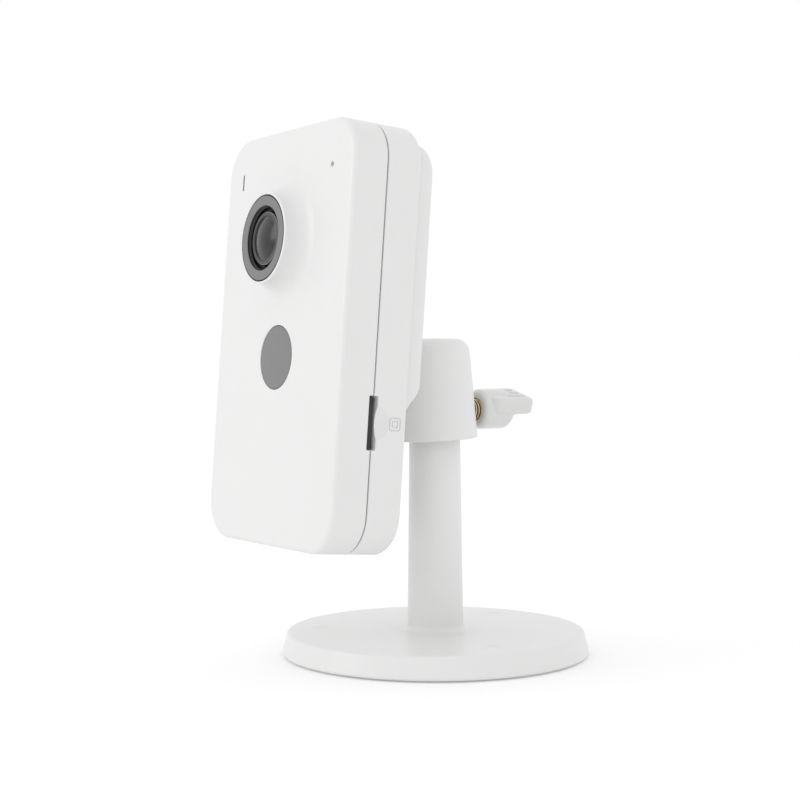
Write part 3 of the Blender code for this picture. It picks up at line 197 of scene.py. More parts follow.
class LensSizes(bpy.types.PropertyGroup):
    height: length("Lens height", "The lens above the middle of the face", 21.97)
    bezel_radius: length("Bezel radius", "Outer radius of the bezel", 10.46)
    bezel_out: length("Bezel depth", "How far the bezel stands out", 5.37)
    bezel_fillet: length("Bezel fillet", "Fillet at the bezel's foot", 4.6)
    bezel_bore: length("Bezel bore", "Bore of the bezel", 9.95)
    rim_edge: length("Rim edge", "Rounding of the bezel's rim", 0.45)
    trim_bore: length("Trim bore", "Opening of the grey trim ring", 7.4)
    trim_set: length("Trim set", "The trim ring's face behind the bezel's", 0.03)
    barrel_radius: length("Barrel radius", "Radius of the lens barrel", 6.1)
    barrel_set: length("Barrel set", "The barrel's face behind the bezel's", 0.75)
    glass_radius: length("Glass radius", "Radius of the front glass", 5.05)
    glass_crown: length("Glass crown", "How far the glass bulges", 1.0)
    window_height: length("Window height", "The motion window below the middle", -4.80)
    window_radius: length("Window radius", "Radius of the motion window", 7.28)
    marks_height: length("Marks height", "Indicator and microphone above the middle", 37.4)
    indicator_x: length("Indicator place", "The indicator's place across", -21.4)
    indicator_length: length("Indicator length", "Length of the indicator", 3.8)
    indicator_width: length("Indicator width", "Width of the indicator", 0.62)
    mic_x: length("Microphone place", "The microphone hole's place across", 20.1)
    mic_radius: length("Microphone hole", "Radius of the microphone hole", 0.6)


class CardSizes(bpy.types.PropertyGroup):
    height: length("Card height", "Middle of the slot up the face", -18.57)
    depth: length("Card depth", "Middle of the slot behind the face", 8.8)
    slot_length: length("Slot length", "Length of the slot", 11.8)
    slot_width: length("Slot width", "Width of the slot", 2.2)
    scoop_radius: length("Scoop radius", "Radius of the finger scoop", 6.0)
    scoop_depth: length("Scoop depth", "Depth of the finger scoop", 1.3)
    icon_depth: length("Icon place", "Middle of the card mark behind the face", 14.5)
    icon_size: length("Icon size", "Width of the card mark", 3.0)


class Finishes(bpy.types.PropertyGroup):
    shell: colour("Shell", "White of shells, hood and stand", (0.76, 0.76, 0.756))
    knob: colour("Knob", "White of the knob", (0.68, 0.68, 0.675))
    trim: colour("Trim ring", "Grey of the ring round the lens", (0.185, 0.185, 0.185))
    window: colour("Motion window", "Grey of the motion window", (0.178, 0.178, 0.18))
    brass: colour("Brass", "Colour of the thumb screw", (0.90, 0.74, 0.44))
    steel: colour("Steel", "Colour of screws and cages", (0.56, 0.56, 0.57))
    black: colour("Black", "Colour of black plastic and rubber", (0.018, 0.018, 0.019))
    glass: colour("Glass", "Colour seen in the depth of the lens", (0.009, 0.009, 0.0095))
    indicator: colour("Indicator", "Colour of the unlit indicator", (0.075, 0.075, 0.078))
    board: colour("Board", "Colour of the circuit board", (0.02, 0.13, 0.06))
    gloss: share("Gloss", "Roughness of the white plastic", 0.34)
    grain: length("Grain", "Size of the moulded surface's grain", 0.35)


class StudioSettings(bpy.types.PropertyGroup):
    azimuth: angle("Azimuth", "Direction of the camera's place", 55.402)
    distance: length("Distance", "Camera to the stand's axis, on the level", 377.13)
    height: length("Camera height", "Height of the camera", 70.02)
    yaw: angle("Yaw", "Camera turned off the stand's axis", 1.284)
    pitch: angle("Pitch", "Camera tipped up", -1.219)
    roll: angle("Roll", "Camera turned about its view", -0.24)
    focal: length("Focal length", "Focal length for a 36 mm sensor", 69.405)
    sky: share("Sky", "Brightness of the white surroundings", 1.0)
    key: FloatProperty(name="Key", description="Power of the large front light", default=1.9,
                       unit="POWER", min=0.0)
    key_size: length("Key size", "Width of the large front light", 550)


GROUPS = {"stand": StandSizes, "hood": HoodSizes, "joint": JointSizes, "clamp": ClampSizes,
          "head": HeadSizes, "lens": LensSizes, "card": CardSizes, "finish": Finishes,
          "studio": StudioSettings}


def sizes(group):
    return getattr(bpy.context.scene, f"security_camera_{group}")


# ---- nodes as arithmetic ------------------------------------------------------------------------
class Value:
    """A socket of a node tree that can stand in an expression."""

    def __init__(self, graph, node, socket):
        self.graph, self.node, self.socket = graph, node, socket

    def out(self, name):
        return Value(self.graph, self.node, self.node.outputs[name])

    def math(self, operation, *others):
        return self.graph.node("ShaderNodeMath", {"operation": operation},
                               dict(enumerate((self, *others))))

    def __add__(self, other):
        return self.math("ADD", other)

    def __sub__(self, other):
        return self.math("SUBTRACT", other)

    def __rsub__(self, other):
        return self.graph.math("SUBTRACT", other, self)

    def __mul__(self, other):
        return self.math("MULTIPLY", other)

    def __truediv__(self, other):
        return self.math("DIVIDE", other)

    def __rtruediv__(self, other):
        return self.graph.math("DIVIDE", other, self)

    def __pow__(self, other):
        return self.math("POWER", other)

    def __lt__(self, other):
        return self.math("LESS_THAN", other)

    def __gt__(self, other):
        return self.math("GREATER_THAN", other)

    __radd__, __rmul__ = __add__, __mul__


class Graph:
    """A node tree, for a finish or for geometry."""

    def __init__(self, tree):
        self.tree = tree

    def node(self, kind, settings=None, values=None, output=0):
        made = self.tree.nodes.new(kind)
        for name, setting in (settings or {}).items():
            if name == "stops":
                ramp = made.color_ramp
                while len(ramp.elements) < len(setting):
                    ramp.elements.new(1.0)
                for element, (place, tone) in zip(ramp.elements, setting):
                    element.position, element.color = place, (*tone, 1.0)
            else:
                setattr(made, name, setting)
        for name, value in (values or {}).items():
            if isinstance(value, Value):
                self.tree.links.new(value.socket, made.inputs[name])
            elif value is not None:
                socket = made.inputs[name]
                wide = socket.type == "RGBA" and len(value) == 3
                socket.default_value = (*value, 1.0) if wide else value
        return Value(self, made, made.outputs[output] if made.outputs else None)

    def math(self, operation, *values):
        return self.node("ShaderNodeMath", {"operation": operation}, dict(enumerate(values)))

    def vector(self, operation, first, second=None, output=0):
        return self.node("ShaderNodeVectorMath", {"operation": operation},
                         {0: first, 1: second}, output)

    def mix(self, factor, first, second):
        return self.node("ShaderNodeMix", {"data_type": "RGBA"},
                         {0: factor, 6: first, 7: second}, 2)


class Finish(Graph):
    """A procedural material on Object coordinates, in metres."""

    def __init__(self, name, **constants):
        self.material = bpy.data.materials.new(name)
        self.material.use_nodes = True
        super().__init__(self.material.node_tree)
        self.tree.nodes.clear()
        shader = self.node("ShaderNodeBsdfPrincipled", {}, {
            key.replace("_", " ").title().replace("Ior", "IOR"): value
            for key, value in constants.items()})
        self.shader = shader.node
        self.node("ShaderNodeOutputMaterial", {}, {"Surface": shader})
        self.place = self.node("ShaderNodeTexCoord").out("Object")

    def noise(self, size, detail=2.0, place=None):
        return self.node("ShaderNodeTexNoise", {}, {
            "Vector": place or self.place, "Scale": 1 / size, "Detail": detail})

    def from_axis(self, point, axis):
        """Distance of a place from a line through point."""
        beside = self.vector("SUBTRACT", self.place, tuple(point))
        across = self.vector("CROSS_PRODUCT", beside, tuple(axis))
        return self.vector("LENGTH", across, output="Value")

    def along(self, point, axis):
        beside = self.vector("SUBTRACT", self.place, tuple(point))
        return self.vector("DOT_PRODUCT", beside, tuple(axis), output="Value")

    def smooth(self, value, low, high, first=0.0, last=1.0):
        """A smooth step from first at low to last at high."""
        return self.node("ShaderNodeMapRange", {"interpolation_type": "SMOOTHSTEP"}, {
            "Value": value, "From Min": low, "From Max": high, "To Min": first, "To Max": last})

    def bump(self, height, distance, strength):
        return self.node("ShaderNodeBump", {}, {
            "Height": height, "Distance": distance, "Strength": strength})

    def show(self, **links):
        for name, value in links.items():
            self.tree.links.new(value.socket, self.shader.inputs[name.replace("_", " ").title()])
        return self.material


def toned(tone, by):
    """A colour made lighter or darker."""
    return tuple(by * part for part in tone)


def ripple(reach, pitch):
    """Rings that go from 0 to 1 and back in each pitch."""
    return (reach * (math.tau / pitch)).math("SINE") * 0.5 + 0.5


def moulded(name, tone, roughness, grain, relief=0.006 * mm, **constants):
    """Injection-moulded plastic: fine spark-eroded grain, faint flow and sheen differences."""
    made = Finish(name, **constants)
    fine = made.noise(grain, 3.0)
    flow = made.noise(14 * mm, 2.0)
    deep = toned(tone, 0.975)
    base = made.mix(flow, deep, tone)
    base = made.mix(fine * 0.25, base, toned(tone, 0.99))
    sheen = roughness - 0.05 + fine * 0.06 + flow * 0.04
    return made.show(base_color=base, roughness=sheen, normal=made.bump(fine, relief, 0.5))


def metal(name, tone, roughness, scratch=0.6 * mm, **constants):
    """Plated or turned metal with fine scratches and a dull bloom."""
    made = Finish(name, metallic=1.0, **constants)
    scratches = made.noise(scratch, 4.0)
    bloom = made.noise(5 * mm, 2.0)
    base = made.mix(bloom, toned(tone, 0.82), tone)
    return made.show(base_color=base, roughness=roughness - 0.06 + scratches * 0.1 + bloom * 0.08,
                     normal=made.bump(scratches, 0.004 * mm, 0.4))


def threaded_brass(name, tone, axis_height, root, crest):
    """Brass whose thread roots are painted nearly black as shade, while the crests keep the brass
    tone and are smoother.
    """
    made = Finish(name, metallic=1.0)
    reach = made.from_axis((0, 0, axis_height), (0, 1, 0))
    crests = made.smooth(reach, root + (crest - root) / 2, crest)
    bloom = made.noise(1.6 * mm, 3.0)
    # painted shade: the thread roots are painted at an eighth of the brass tone, standing in for
    # the shade between the crests
    dull = toned(tone, 0.12)
    base = made.mix(crests, dull, tone)
    base = made.mix(bloom * 0.2, base, toned(tone, 0.7))
    return made.show(base_color=base, roughness=0.38 - crests * 0.22 + bloom * 0.08,
                     normal=made.bump(bloom, 0.006 * mm, 0.4))


def lens_line():
    """A point on the lens's axis and the axis's direction."""
    return head_matrix() @ Vector((0, 0, sizes("lens").height)), ROLL_AXIS


def coated_glass(name, tone, radius):
    """The front glass: dark coated layers, with the rings of the elements behind it."""
    made = Finish(name, specular_ior_level=0.5)
    point, axis = lens_line()
    reach = made.from_axis(point, axis) / radius
    smear = made.noise(3.5 * mm, 2.0)
    stops = ((0.0, 0.7), (0.5, 1.0), (0.8, 1.5), (0.93, 0.5), (1.0, 6.0))
    rings = made.node("ShaderNodeValToRGB", {
        "stops": [(place, toned(tone, by)) for place, by in stops]}, {
        "Fac": reach + smear * 0.02})
    return made.show(base_color=rings, roughness=0.16 + smear * 0.08)


def ringed_plastic(name, tone, pitch, relief, roughness, face, skin, edge_from, edge_to,
                   painted_edge_tone):
    """Plastic round the lens: fine rings, a band at the edge painted in a tone of its own to stand
    for light or shade there, and painted black shade below the face.
    """
    made = Finish(name, specular_ior_level=0.5)
    point, axis = lens_line()
    reach = made.from_axis(point, axis)
    # painted shade: deeper than the skin below the face, the plastic is painted black as shade in
    # the recess around it
    deep = made.smooth(made.along(point, axis), face - skin, face - skin / 2, 1.0, 0.0)
    wave = ripple(reach, pitch)
    fine = made.noise(0.4 * mm, 3.0)
    # painted light and shade: the band near the edge is painted in the given tone, a shadow line on
    # the trim ring and a highlight on the barrel's rim
    edge = made.smooth(reach, edge_from, edge_to)
    base = made.mix(fine * 0.5, toned(tone, 0.94), tone)
    base = made.mix(edge, base, painted_edge_tone)
    base = made.mix(deep, base, (0.006, 0.006, 0.006))
    height = wave * 0.7 + fine * 0.3
    return made.show(base_color=base, roughness=roughness + fine * 0.08,
                     normal=made.bump(height, relief, 0.6))


def motion_window(name, tone, radius):
    """Milky grey film with the faint rings of its lenslets."""
    made = Finish(name, specular_ior_level=0.5, coat_weight=0.15, coat_roughness=0.12)
    point = head_matrix() @ Vector((0, 0, sizes("lens").window_height))
    reach = made.from_axis(point, ROLL_AXIS)
    groove = ripple(reach, 0.9 * mm)
    cloud = made.noise(4 * mm, 2.0)
    fine = made.noise(0.3 * mm, 2.0)
    base = made.mix(cloud, toned(tone, 0.96), tone)
    rim = made.smooth(reach, radius * 0.9, radius)
    base = made.mix(rim * 0.5, base, toned(tone, 0.8))
    return made.show(base_color=base, roughness=0.3 + fine * 0.06,
                     normal=made.bump(groove * 0.5 + fine * 0.5, 0.004 * mm, 0.5))


def circuit_board(name, tone):
    """Green board with copper runs under the mask."""
    made = Finish(name, coat_weight=0.3, coat_roughness=0.2)
    cells = made.node("ShaderNodeTexVoronoi", {"distance": "MANHATTAN"}, {
        "Vector": made.place, "Scale": 1 / (2.2 * mm)}, "Distance")
    runs = ((cells * 6.0).math("FRACT") < 0.35) * 0.6
    fine = made.noise(0.5 * mm)
    base = made.mix(runs, tone, tuple(min(1.0, 1.9 * part + 0.01) for part in tone))
    return made.show(base_color=base, roughness=0.38 + fine * 0.1,
                     normal=made.bump(runs, 0.02 * mm, 0.6))


def rubber(name, tone):
    """Dull moulded rubber."""
    made = Finish(name, specular_ior_level=0.3)
    fine = made.noise(0.25 * mm, 4.0)
    base = made.mix(fine, toned(tone, 0.8), toned(tone, 1.5))
    return made.show(base_color=base, roughness=0.72 + fine * 0.15,
                     normal=made.bump(fine, 0.02 * mm, 0.6))


FINISHES = {}


def make_finishes():
    look, clamp, lens = sizes("finish"), sizes("clamp"), sizes("lens")
    white, grain = tuple(look.shell), look.grain
    black = tuple(look.black)
    FINISHES.update({
        "white_plastic": moulded("white_satin_plastic", white, look.gloss, grain),
        "knob_plastic": moulded("glossy_white_plastic", tuple(look.knob), 0.22, grain,
                                0.003 * mm, coat_weight=0.3, coat_roughness=0.12),
        "brass": threaded_brass("thread_brass", tuple(look.brass), clamp.height,
                                clamp.crest - clamp.thread_depth, clamp.crest),
        "steel": metal("zinc_plated_steel", tuple(look.steel), 0.34),
        "zinc": metal("drawn_zinc", (0.66, 0.67, 0.68), 0.40),
        "aluminium": metal("extruded_aluminium", (0.78, 0.78, 0.79), 0.38),
        "black_plastic": moulded("black_plastic", black, 0.42, 0.3 * mm),
        "rubber": rubber("black_rubber", toned(black, 1.6)),
        # the trim ring's dark outer band is a painted shadow line of the gap round it, and its
        # black below the face is painted shade
        "grey_plastic": ringed_plastic(
            "grey_trim_plastic", tuple(look.trim), 0.5 * mm, 0.002 * mm, 0.36,
            lens.bezel_out - lens.trim_set, 0.3 * mm, lens.bezel_bore - 0.44 * mm,
            lens.bezel_bore - 0.3 * mm, (0.012, 0.012, 0.012)),
        # the barrel's lighter rim band is a painted highlight, and its black below the face is
        # painted shade
        "barrel": ringed_plastic(
            "lens_barrel_black", (0.038, 0.038, 0.04), 0.35 * mm, 0.01 * mm, 0.34,
            lens.bezel_out - lens.barrel_set, 0.5 * mm, lens.barrel_radius - 0.22 * mm,
            lens.barrel_radius - 0.05 * mm, (0.26, 0.26, 0.26)),
        "sensor_window": motion_window("milky_grey_window", tuple(look.window),
                                       lens.window_radius),
        "lens_glass": coated_glass("coated_lens_glass", tuple(look.glass), lens.glass_radius),
        "light_pipe": moulded("smoked_light_pipe", tuple(look.indicator), 0.2, 0.6 * mm),
        "circuit_board": circuit_board("green_board", tuple(look.board)),
        "chip": moulded("chip_epoxy", (0.03, 0.03, 0.034), 0.5, 0.2 * mm),
        "nylon": moulded("natural_nylon", (0.70, 0.68, 0.62), 0.45, 0.4 * mm),
    })


# ---- shapes -------------------------------------------------------------------------------------
FORWARD = Matrix.Rotation(math.pi / 2, 4, "X")    # a piece's own +Z to -Y
BACKWARD = Matrix.Rotation(-math.pi / 2, 4, "X")  # a piece's own +Z to +Y
SIDEWAYS = Matrix.Rotation(math.pi / 2, 4, "Z")   # a piece's own +Y to -X
FACET = math.radians(7)                           # the longest step round a softened corner
SCREW_ROOM = 0.25 * mm                            # round the thumb screw, in hood and knob


def moved(x=0.0, y=0.0, z=0.0):
    return Matrix.Translation((x, y, z))


def head_matrix():
    """The middle of the front face: +X across, +Y back into the head, +Z up the face."""
    head = sizes("head")
    return HOLDING @ moved(0, -head.reach, head.rise)


def shown(name, mesh):
    made = bpy.data.objects.new(name, mesh)
    bpy.context.scene.collection.objects.link(made)
    return made


def from_bmesh(name, body, at):
    bmesh.ops.recalc_face_normals(body, faces=body.faces)
    mesh = bpy.data.meshes.new(name)
    body.to_mesh(mesh)
    body.free()
    mesh.transform(at)
    return shown(name, mesh)


def soften(corners, closed=False):
    """The outline through corners (x, y) or (x, y, radius), the latter rounded off."""
    points, total = [], len(corners)
    for i, corner in enumerate(corners):
        here = Vector(corner[:2])
        radius = corner[2] if len(corner) > 2 else 0.0
        if not radius or (not closed and i in (0, total - 1)):
            points.append(here)
            continue
        back = Vector(corners[i - 1][:2]) - here
        ahead = Vector(corners[(i + 1) % total][:2]) - here
        half = back.angle(ahead) / 2
        run = radius / math.tan(half)
        centre = here + (back.normalized() + ahead.normalized()).normalized() * (
            radius / math.sin(half))
        first = here + back.normalized() * run - centre
        sweep = first.angle_signed(here + ahead.normalized() * run - centre)
        steps = max(2, math.ceil(abs(sweep) / FACET))
        for k in range(steps + 1):
            turn = Matrix.Rotation(-sweep * k / steps, 2)
            points.append(centre + turn @ first)
    return [tuple(point) for point in points]


def arc(x, y, radius, start, stop, steps=12):
    """Points on an arc, in degrees from +X."""
    angles = [math.radians(start + (stop - start) * i / steps) for i in range(steps + 1)]
    return [(x + radius * math.cos(a), y + radius * math.sin(a)) for a in angles]


def turned(name, outline, at=Matrix(), steps=96, ring=False):
    """A solid turned from an outline of (radius, height), closed on the axis or as a ring."""
    body = bmesh.new()
    rows = []
    for radius, height in outline:
        if radius < 1e-7:
            rows.append([body.verts.new((0, 0, height))] * steps)
        else:
            rows.append([body.verts.new((radius * math.cos(math.tau * i / steps),
                                         radius * math.sin(math.tau * i / steps), height))
                         for i in range(steps)])
    pairs = list(zip(rows, rows[1:])) + ([(rows[-1], rows[0])] if ring else [])
    for upper, lower in pairs:
        for i in range(steps):
            j = (i + 1) % steps
            corners = list(dict.fromkeys((upper[i], upper[j], lower[j], lower[i])))
            if len(corners) > 2:
                body.faces.new(corners)
    return from_bmesh(name, body, at)


def divide(piece, at, across=(), up=(), cell=3.9 * mm, aside=0.1 * mm):
    """Split a head piece's faces along a lattice and just beside these places, so that no
    face has to hold a whole hole."""
    head = sizes("head")
    body = bmesh.new()
    body.from_mesh(piece.data)
    spin = at.to_3x3()
    for axis, reach, places in ((Vector((1, 0, 0)), head.width / 2, across),
                                (Vector((0, 0, 1)), head.height / 2, up)):
        lattice = [cell * (i + 1 / 3) - reach for i in range(int(2 * reach / cell))]
        for place in lattice + [spot + aside for spot in places]:
            bmesh.ops.bisect_plane(body, geom=[*body.verts, *body.edges, *body.faces],
                                   dist=1e-8, plane_co=at @ (axis * place),
                                   plane_no=spin @ axis)
    body.to_mesh(piece.data)
    body.free()
    return piece


def rod(name, radius, low, high, at=Matrix(), steps=64, edge=0.0):
    return turned(name, soften([(0, low), (radius, low, edge), (radius, high, edge), (0, high)]),
                  at, steps)


def rounded_loop(width, height, corner, steps):
    """Points (x, z) round a rectangle with rounded corners."""
    corner = min(max(corner, 0.02 * mm), 0.49 * min(width, height))
    loop = []
    for sign_x, sign_z, start in ((1, 1, 0), (-1, 1, 90), (-1, -1, 180), (1, -1, 270)):
        loop += arc(sign_x * (width / 2 - corner), sign_z * (height / 2 - corner), corner,
                    start, start + 90, steps)
    return loop


def slab(name, rings, width, height, corner, at=Matrix(), steps=14):
    """A solid skinned over rings (inset, depth) of a rounded rectangle, capped at both ends."""
    body = bmesh.new()
    rows = [[body.verts.new((x, depth, z))
             for x, z in rounded_loop(width - 2 * inset, height - 2 * inset, corner - inset, steps)]
            for inset, depth in rings]
    for near, far in zip(rows, rows[1:]):
        for i in range(len(near)):
            j = (i + 1) % len(near)
            body.faces.new((near[i], near[j], far[j], far[i]))
    body.faces.new(rows[0])
    body.faces.new(rows[-1][::-1])
    return from_bmesh(name, body, at)


def depth_rings(start, stop, front=0.0, rear=0.0, steps=8):
    """Rings for a slab from start to stop whose two rims are rounded."""
    quarter = [math.pi / 2 * i / steps for i in range(steps + 1)]
    first = [(front * (1 - math.sin(a)), start + front * (1 - math.cos(a))) for a in quarter]
    last = [(rear * (1 - math.cos(a)), stop - rear * (1 - math.sin(a))) for a in quarter]
    return (first if front else [(0, start)]) + (last if rear else [(0, stop)])


def lip(flare, proud=0.02 * mm, steps=5):
    """A rounded lip as (widening, depth), started proud of the face so that it cuts it cleanly."""
    turns = [math.pi / 2 * i / steps for i in range(1, steps + 1)]
    return [(flare, -proud)] + [(flare * (1 - math.sin(a)), flare * (1 - math.cos(a)))
                                for a in turns]


def mouth_rings(flare, deep, out=1.0 * mm):
    """Rings for a cutter whose mouth leaves a rounded edge at depth 0."""
    return [(-flare, -out)] + [(-wider, depth) for wider, depth in lip(flare)] + [(0, deep)]


def mouth_outline(radius, flare, deep, out=1.0 * mm):
    """Outline of a round cutter whose mouth leaves a rounded edge at height 0."""
    return ([(0, out), (radius + flare, out)]
            + [(radius + wider, -depth) for wider, depth in lip(flare)]
            + [(radius, -deep), (0, -deep)])


def prism(name, outline, width, at):
    """A bar across X whose side view is an outline of (depth, height)."""
    body = bmesh.new()
    near = [body.verts.new((-width / 2, y, z)) for y, z in outline]
    far = [body.verts.new((width / 2, y, z)) for y, z in outline]
    for i in range(len(near)):
        j = (i + 1) % len(near)
        body.faces.new((near[i], near[j], far[j], far[i]))
    body.faces.new(near)
    body.faces.new(far)
    return from_bmesh(name, body, at)


def bake(piece):
    """Turn a piece's modifiers into its plain mesh."""
    graph = bpy.context.evaluated_depsgraph_get()
    mesh = bpy.data.meshes.new_from_object(piece.evaluated_get(graph),
                                           preserve_all_data_layers=True, depsgraph=graph)
    piece.modifiers.clear()
    piece.data = mesh
    return piece


def modify(piece, kind, **settings):
    step = piece.modifiers.new(kind.lower(), kind)
    for name, setting in settings.items():
        setattr(step, name, setting)
    return step


def shape(piece, operation, *tools):
    for tool in tools:
        modify(piece, "BOOLEAN", operation=operation, solver="EXACT", object=tool)
    bake(piece)
    for tool in tools:
        bpy.data.objects.remove(tool)
    if not piece.data.polygons:
        raise RuntimeError(f"{piece.name}: {operation.lower()} left nothing")
    return piece


def cut(piece, *tools):
    return shape(piece, "DIFFERENCE", *tools)


def join(piece, *tools):
    return shape(piece, "UNION", *tools)


def settle(piece, body, finish, slot, *nodes, sharp=32.0):
    """Shade, finish and hand over a piece to its body of the frame."""
    mesh = piece.data
    mesh.shade_smooth()
    mesh.set_sharp_from_angle(angle=math.radians(sharp))
    modify(piece, "WEIGHTED_NORMAL", keep_sharp=True)
    bake(piece)
    piece.data.materials.clear()
    piece.data.materials.append(FINISHES[finish])
    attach(piece, body)
    if nodes:
        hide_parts(*nodes)
    return piece


# ---- geometry trees -----------------------------------------------------------------------------
class Growth(Graph):
    """A geometry tree with named inputs that ends in Realize Instances and Set Material."""

    def __init__(self, name, inputs):
        super().__init__(bpy.data.node_groups.new(name, "GeometryNodeTree"))
        self.sockets = {}
        for label, kind in {**inputs, "Material": "Material"}.items():
            item = self.tree.interface.new_socket(label, in_out="INPUT",
                                                  socket_type=f"NodeSocket{kind}")
            self.sockets[label] = item.identifier
        self.tree.interface.new_socket("Geometry", in_out="OUTPUT",
                                       socket_type="NodeSocketGeometry")
        self.given = self.node("NodeGroupInput")

    def line(self, axis):
        """Count points in a row along an axis, a Pitch apart, about the middle."""
        number, pitch = self.given.out("Count"), self.given.out("Pitch")
        start, step = (self.node("ShaderNodeCombineXYZ", {}, {axis: value})
                       for value in ((number - 1.0) * pitch * -0.5, pitch))
        return self.node("GeometryNodeMeshLine", {}, {
            "Count": number, "Start Location": start, "Offset": step})

    def grid(self, width, height, across, up):
        return self.node("GeometryNodeMeshGrid", {}, {
            "Size X": width, "Size Y": height, "Vertices X": across, "Vertices Y": up})

    def place(self):
        position = self.node("GeometryNodeInputPosition")
        return self.node("ShaderNodeSeparateXYZ", {}, {0: position})

    def upright(self, geometry):
        return self.node("GeometryNodeTransform", {}, {
            "Geometry": geometry, "Rotation": (math.pi / 2, 0, 0)})

    def handed(self, label="Piece"):
        """The geometry of an object that the tree is handed."""
        return self.node("GeometryNodeObjectInfo", {}, {"Object": self.given.out(label)},
                         "Geometry")

    def repeat(self, points, piece, scale=None):
        self.end(self.node("GeometryNodeInstanceOnPoints", {}, {
            "Points": points, "Instance": piece, "Scale": scale}))

    def end(self, geometry, merge=None):
        made = self.node("GeometryNodeRealizeInstances", {}, {"Geometry": geometry})
        if merge:
            made = self.node("GeometryNodeMergeByDistance", {},
                             {"Geometry": made, "Distance": merge})
        made = self.node("GeometryNodeSetMaterial", {},
                         {"Geometry": made, "Material": self.given.out("Material")})
        self.node("NodeGroupOutput", {}, {0: made})


def grow(name, tree, at=Matrix(), **values):
    """Run a tree with these input values and keep its mesh."""
    piece = shown(name, bpy.data.meshes.new(name))
    step = piece.modifiers.new(tree.tree.name, "NODES")
    step.node_group = tree.tree
    for label, value in values.items():
        step[tree.sockets[label]] = value
    bake(piece)
    if not piece.data.polygons:
        raise RuntimeError(f"{name}: its tree made nothing")
    piece.data.transform(at)
    return piece


def thread_tree():
    """A screw thread: a grid wrapped round the axis, its radius set by turn and height."""
    tree = Growth("screw_thread", {"Crest": "Float", "Depth": "Float", "Pitch": "Float",
                                   "Length": "Float", "Sides": "Int", "Rows": "Int"})
    given = tree.given
    long, depth = given.out("Length"), given.out("Depth")
    grid = tree.grid(math.tau, long, given.out("Sides"), given.out("Rows"))
    place = tree.place()
    turn, height = place.out("X"), place.out("Y")
    wave = (height / given.out("Pitch") - turn / math.tau + 100.0).math("FRACT")
    flank = 1.0 - (wave * 2.0 - 1.0).math("ABSOLUTE")
    flank = flank * flank * (3.0 - 2.0 * flank)
    root = given.out("Crest") - depth
    inside = long / 2.0 - height.math("ABSOLUTE")
    taper = (inside * 1.2 + root * 0.82).math("MINIMUM", root + depth * flank)
    radius = taper * (inside > 1e-6)
    spot = tree.node("ShaderNodeCombineXYZ", {}, {
        0: radius * turn.math("COSINE"), 1: radius * turn.math("SINE"), 2: height})
    wrapped = tree.node("GeometryNodeSetPosition", {}, {"Geometry": grid, "Position": spot})
    tree.end(wrapped, 1e-6)
    return tree


def row_tree():
    """Copies of one piece, evenly spaced across."""
    tree = Growth("row_of_pieces", {"Piece": "Object", "Count": "Int", "Pitch": "Float"})
    tree.repeat(tree.line(0), tree.handed())
    return tree


def corner_tree():
    """Copies of one piece at the four corners of a rectangle that stands on edge."""
    tree = Growth("pieces_at_corners", {"Piece": "Object", "Span": "Float", "Rise": "Float"})
    grid = tree.grid(tree.given.out("Span"), tree.given.out("Rise"), 2, 2)
    tree.repeat(tree.upright(grid), tree.handed())
    return tree


def grille_tree():
    """Level bars that fill a circle: each is as long as the circle is wide at its height."""
    tree = Growth("grille_bars", {"Radius": "Float", "Bar": "Float", "Pitch": "Float",
                                  "Deep": "Float", "Count": "Int"})
    given = tree.given
    radius, height = given.out("Radius"), tree.place().out("Z")
    half = (radius * radius - height * height).math("SQRT")
    bar = tree.node("GeometryNodeMeshCylinder", {"fill_type": "NGON"}, {
        "Vertices": 24, "Radius": 0.5, "Depth": 1.0})
    size = tree.node("ShaderNodeCombineXYZ", {}, {
        0: half * 2.0, 1: given.out("Deep"), 2: given.out("Bar")})
    tree.repeat(tree.line(2), tree.upright(bar), size)
    return tree


def stud_tree():
    """Low studs in rows over a disc, except round its screw holes."""
    tree = Growth("pad_studs", {"Piece": "Object", "Radius": "Float", "Pitch": "Float",
                                "Rows": "Int", "Holes": "Object", "Clear": "Float"})
    given = tree.given
    rows = given.out("Rows")
    wide = (rows - 1.0) * given.out("Pitch")
    reach = tree.vector("LENGTH", tree.node("GeometryNodeInputPosition"), output="Value")
    near = tree.node("GeometryNodeProximity", {"target_element": "POINTS"},
                     {0: tree.handed("Holes")}, "Distance")
    outside = (reach > given.out("Radius")).math("MAXIMUM", near < given.out("Clear"))
    kept = tree.node("GeometryNodeDeleteGeometry", {"domain": "POINT"}, {
        "Geometry": tree.grid(wide, wide, rows, rows), "Selection": outside})
    tree.repeat(kept, tree.handed())
    return tree


# ---- stand --------------------------------------------------------------------------------------
def hole_places():
    stand = sizes("stand")
    turns = [stand.hole_turn + i * math.tau / stand.holes for i in range(stand.holes)]
    return [(stand.hole_circle * math.cos(a), stand.hole_circle * math.sin(a)) for a in turns]


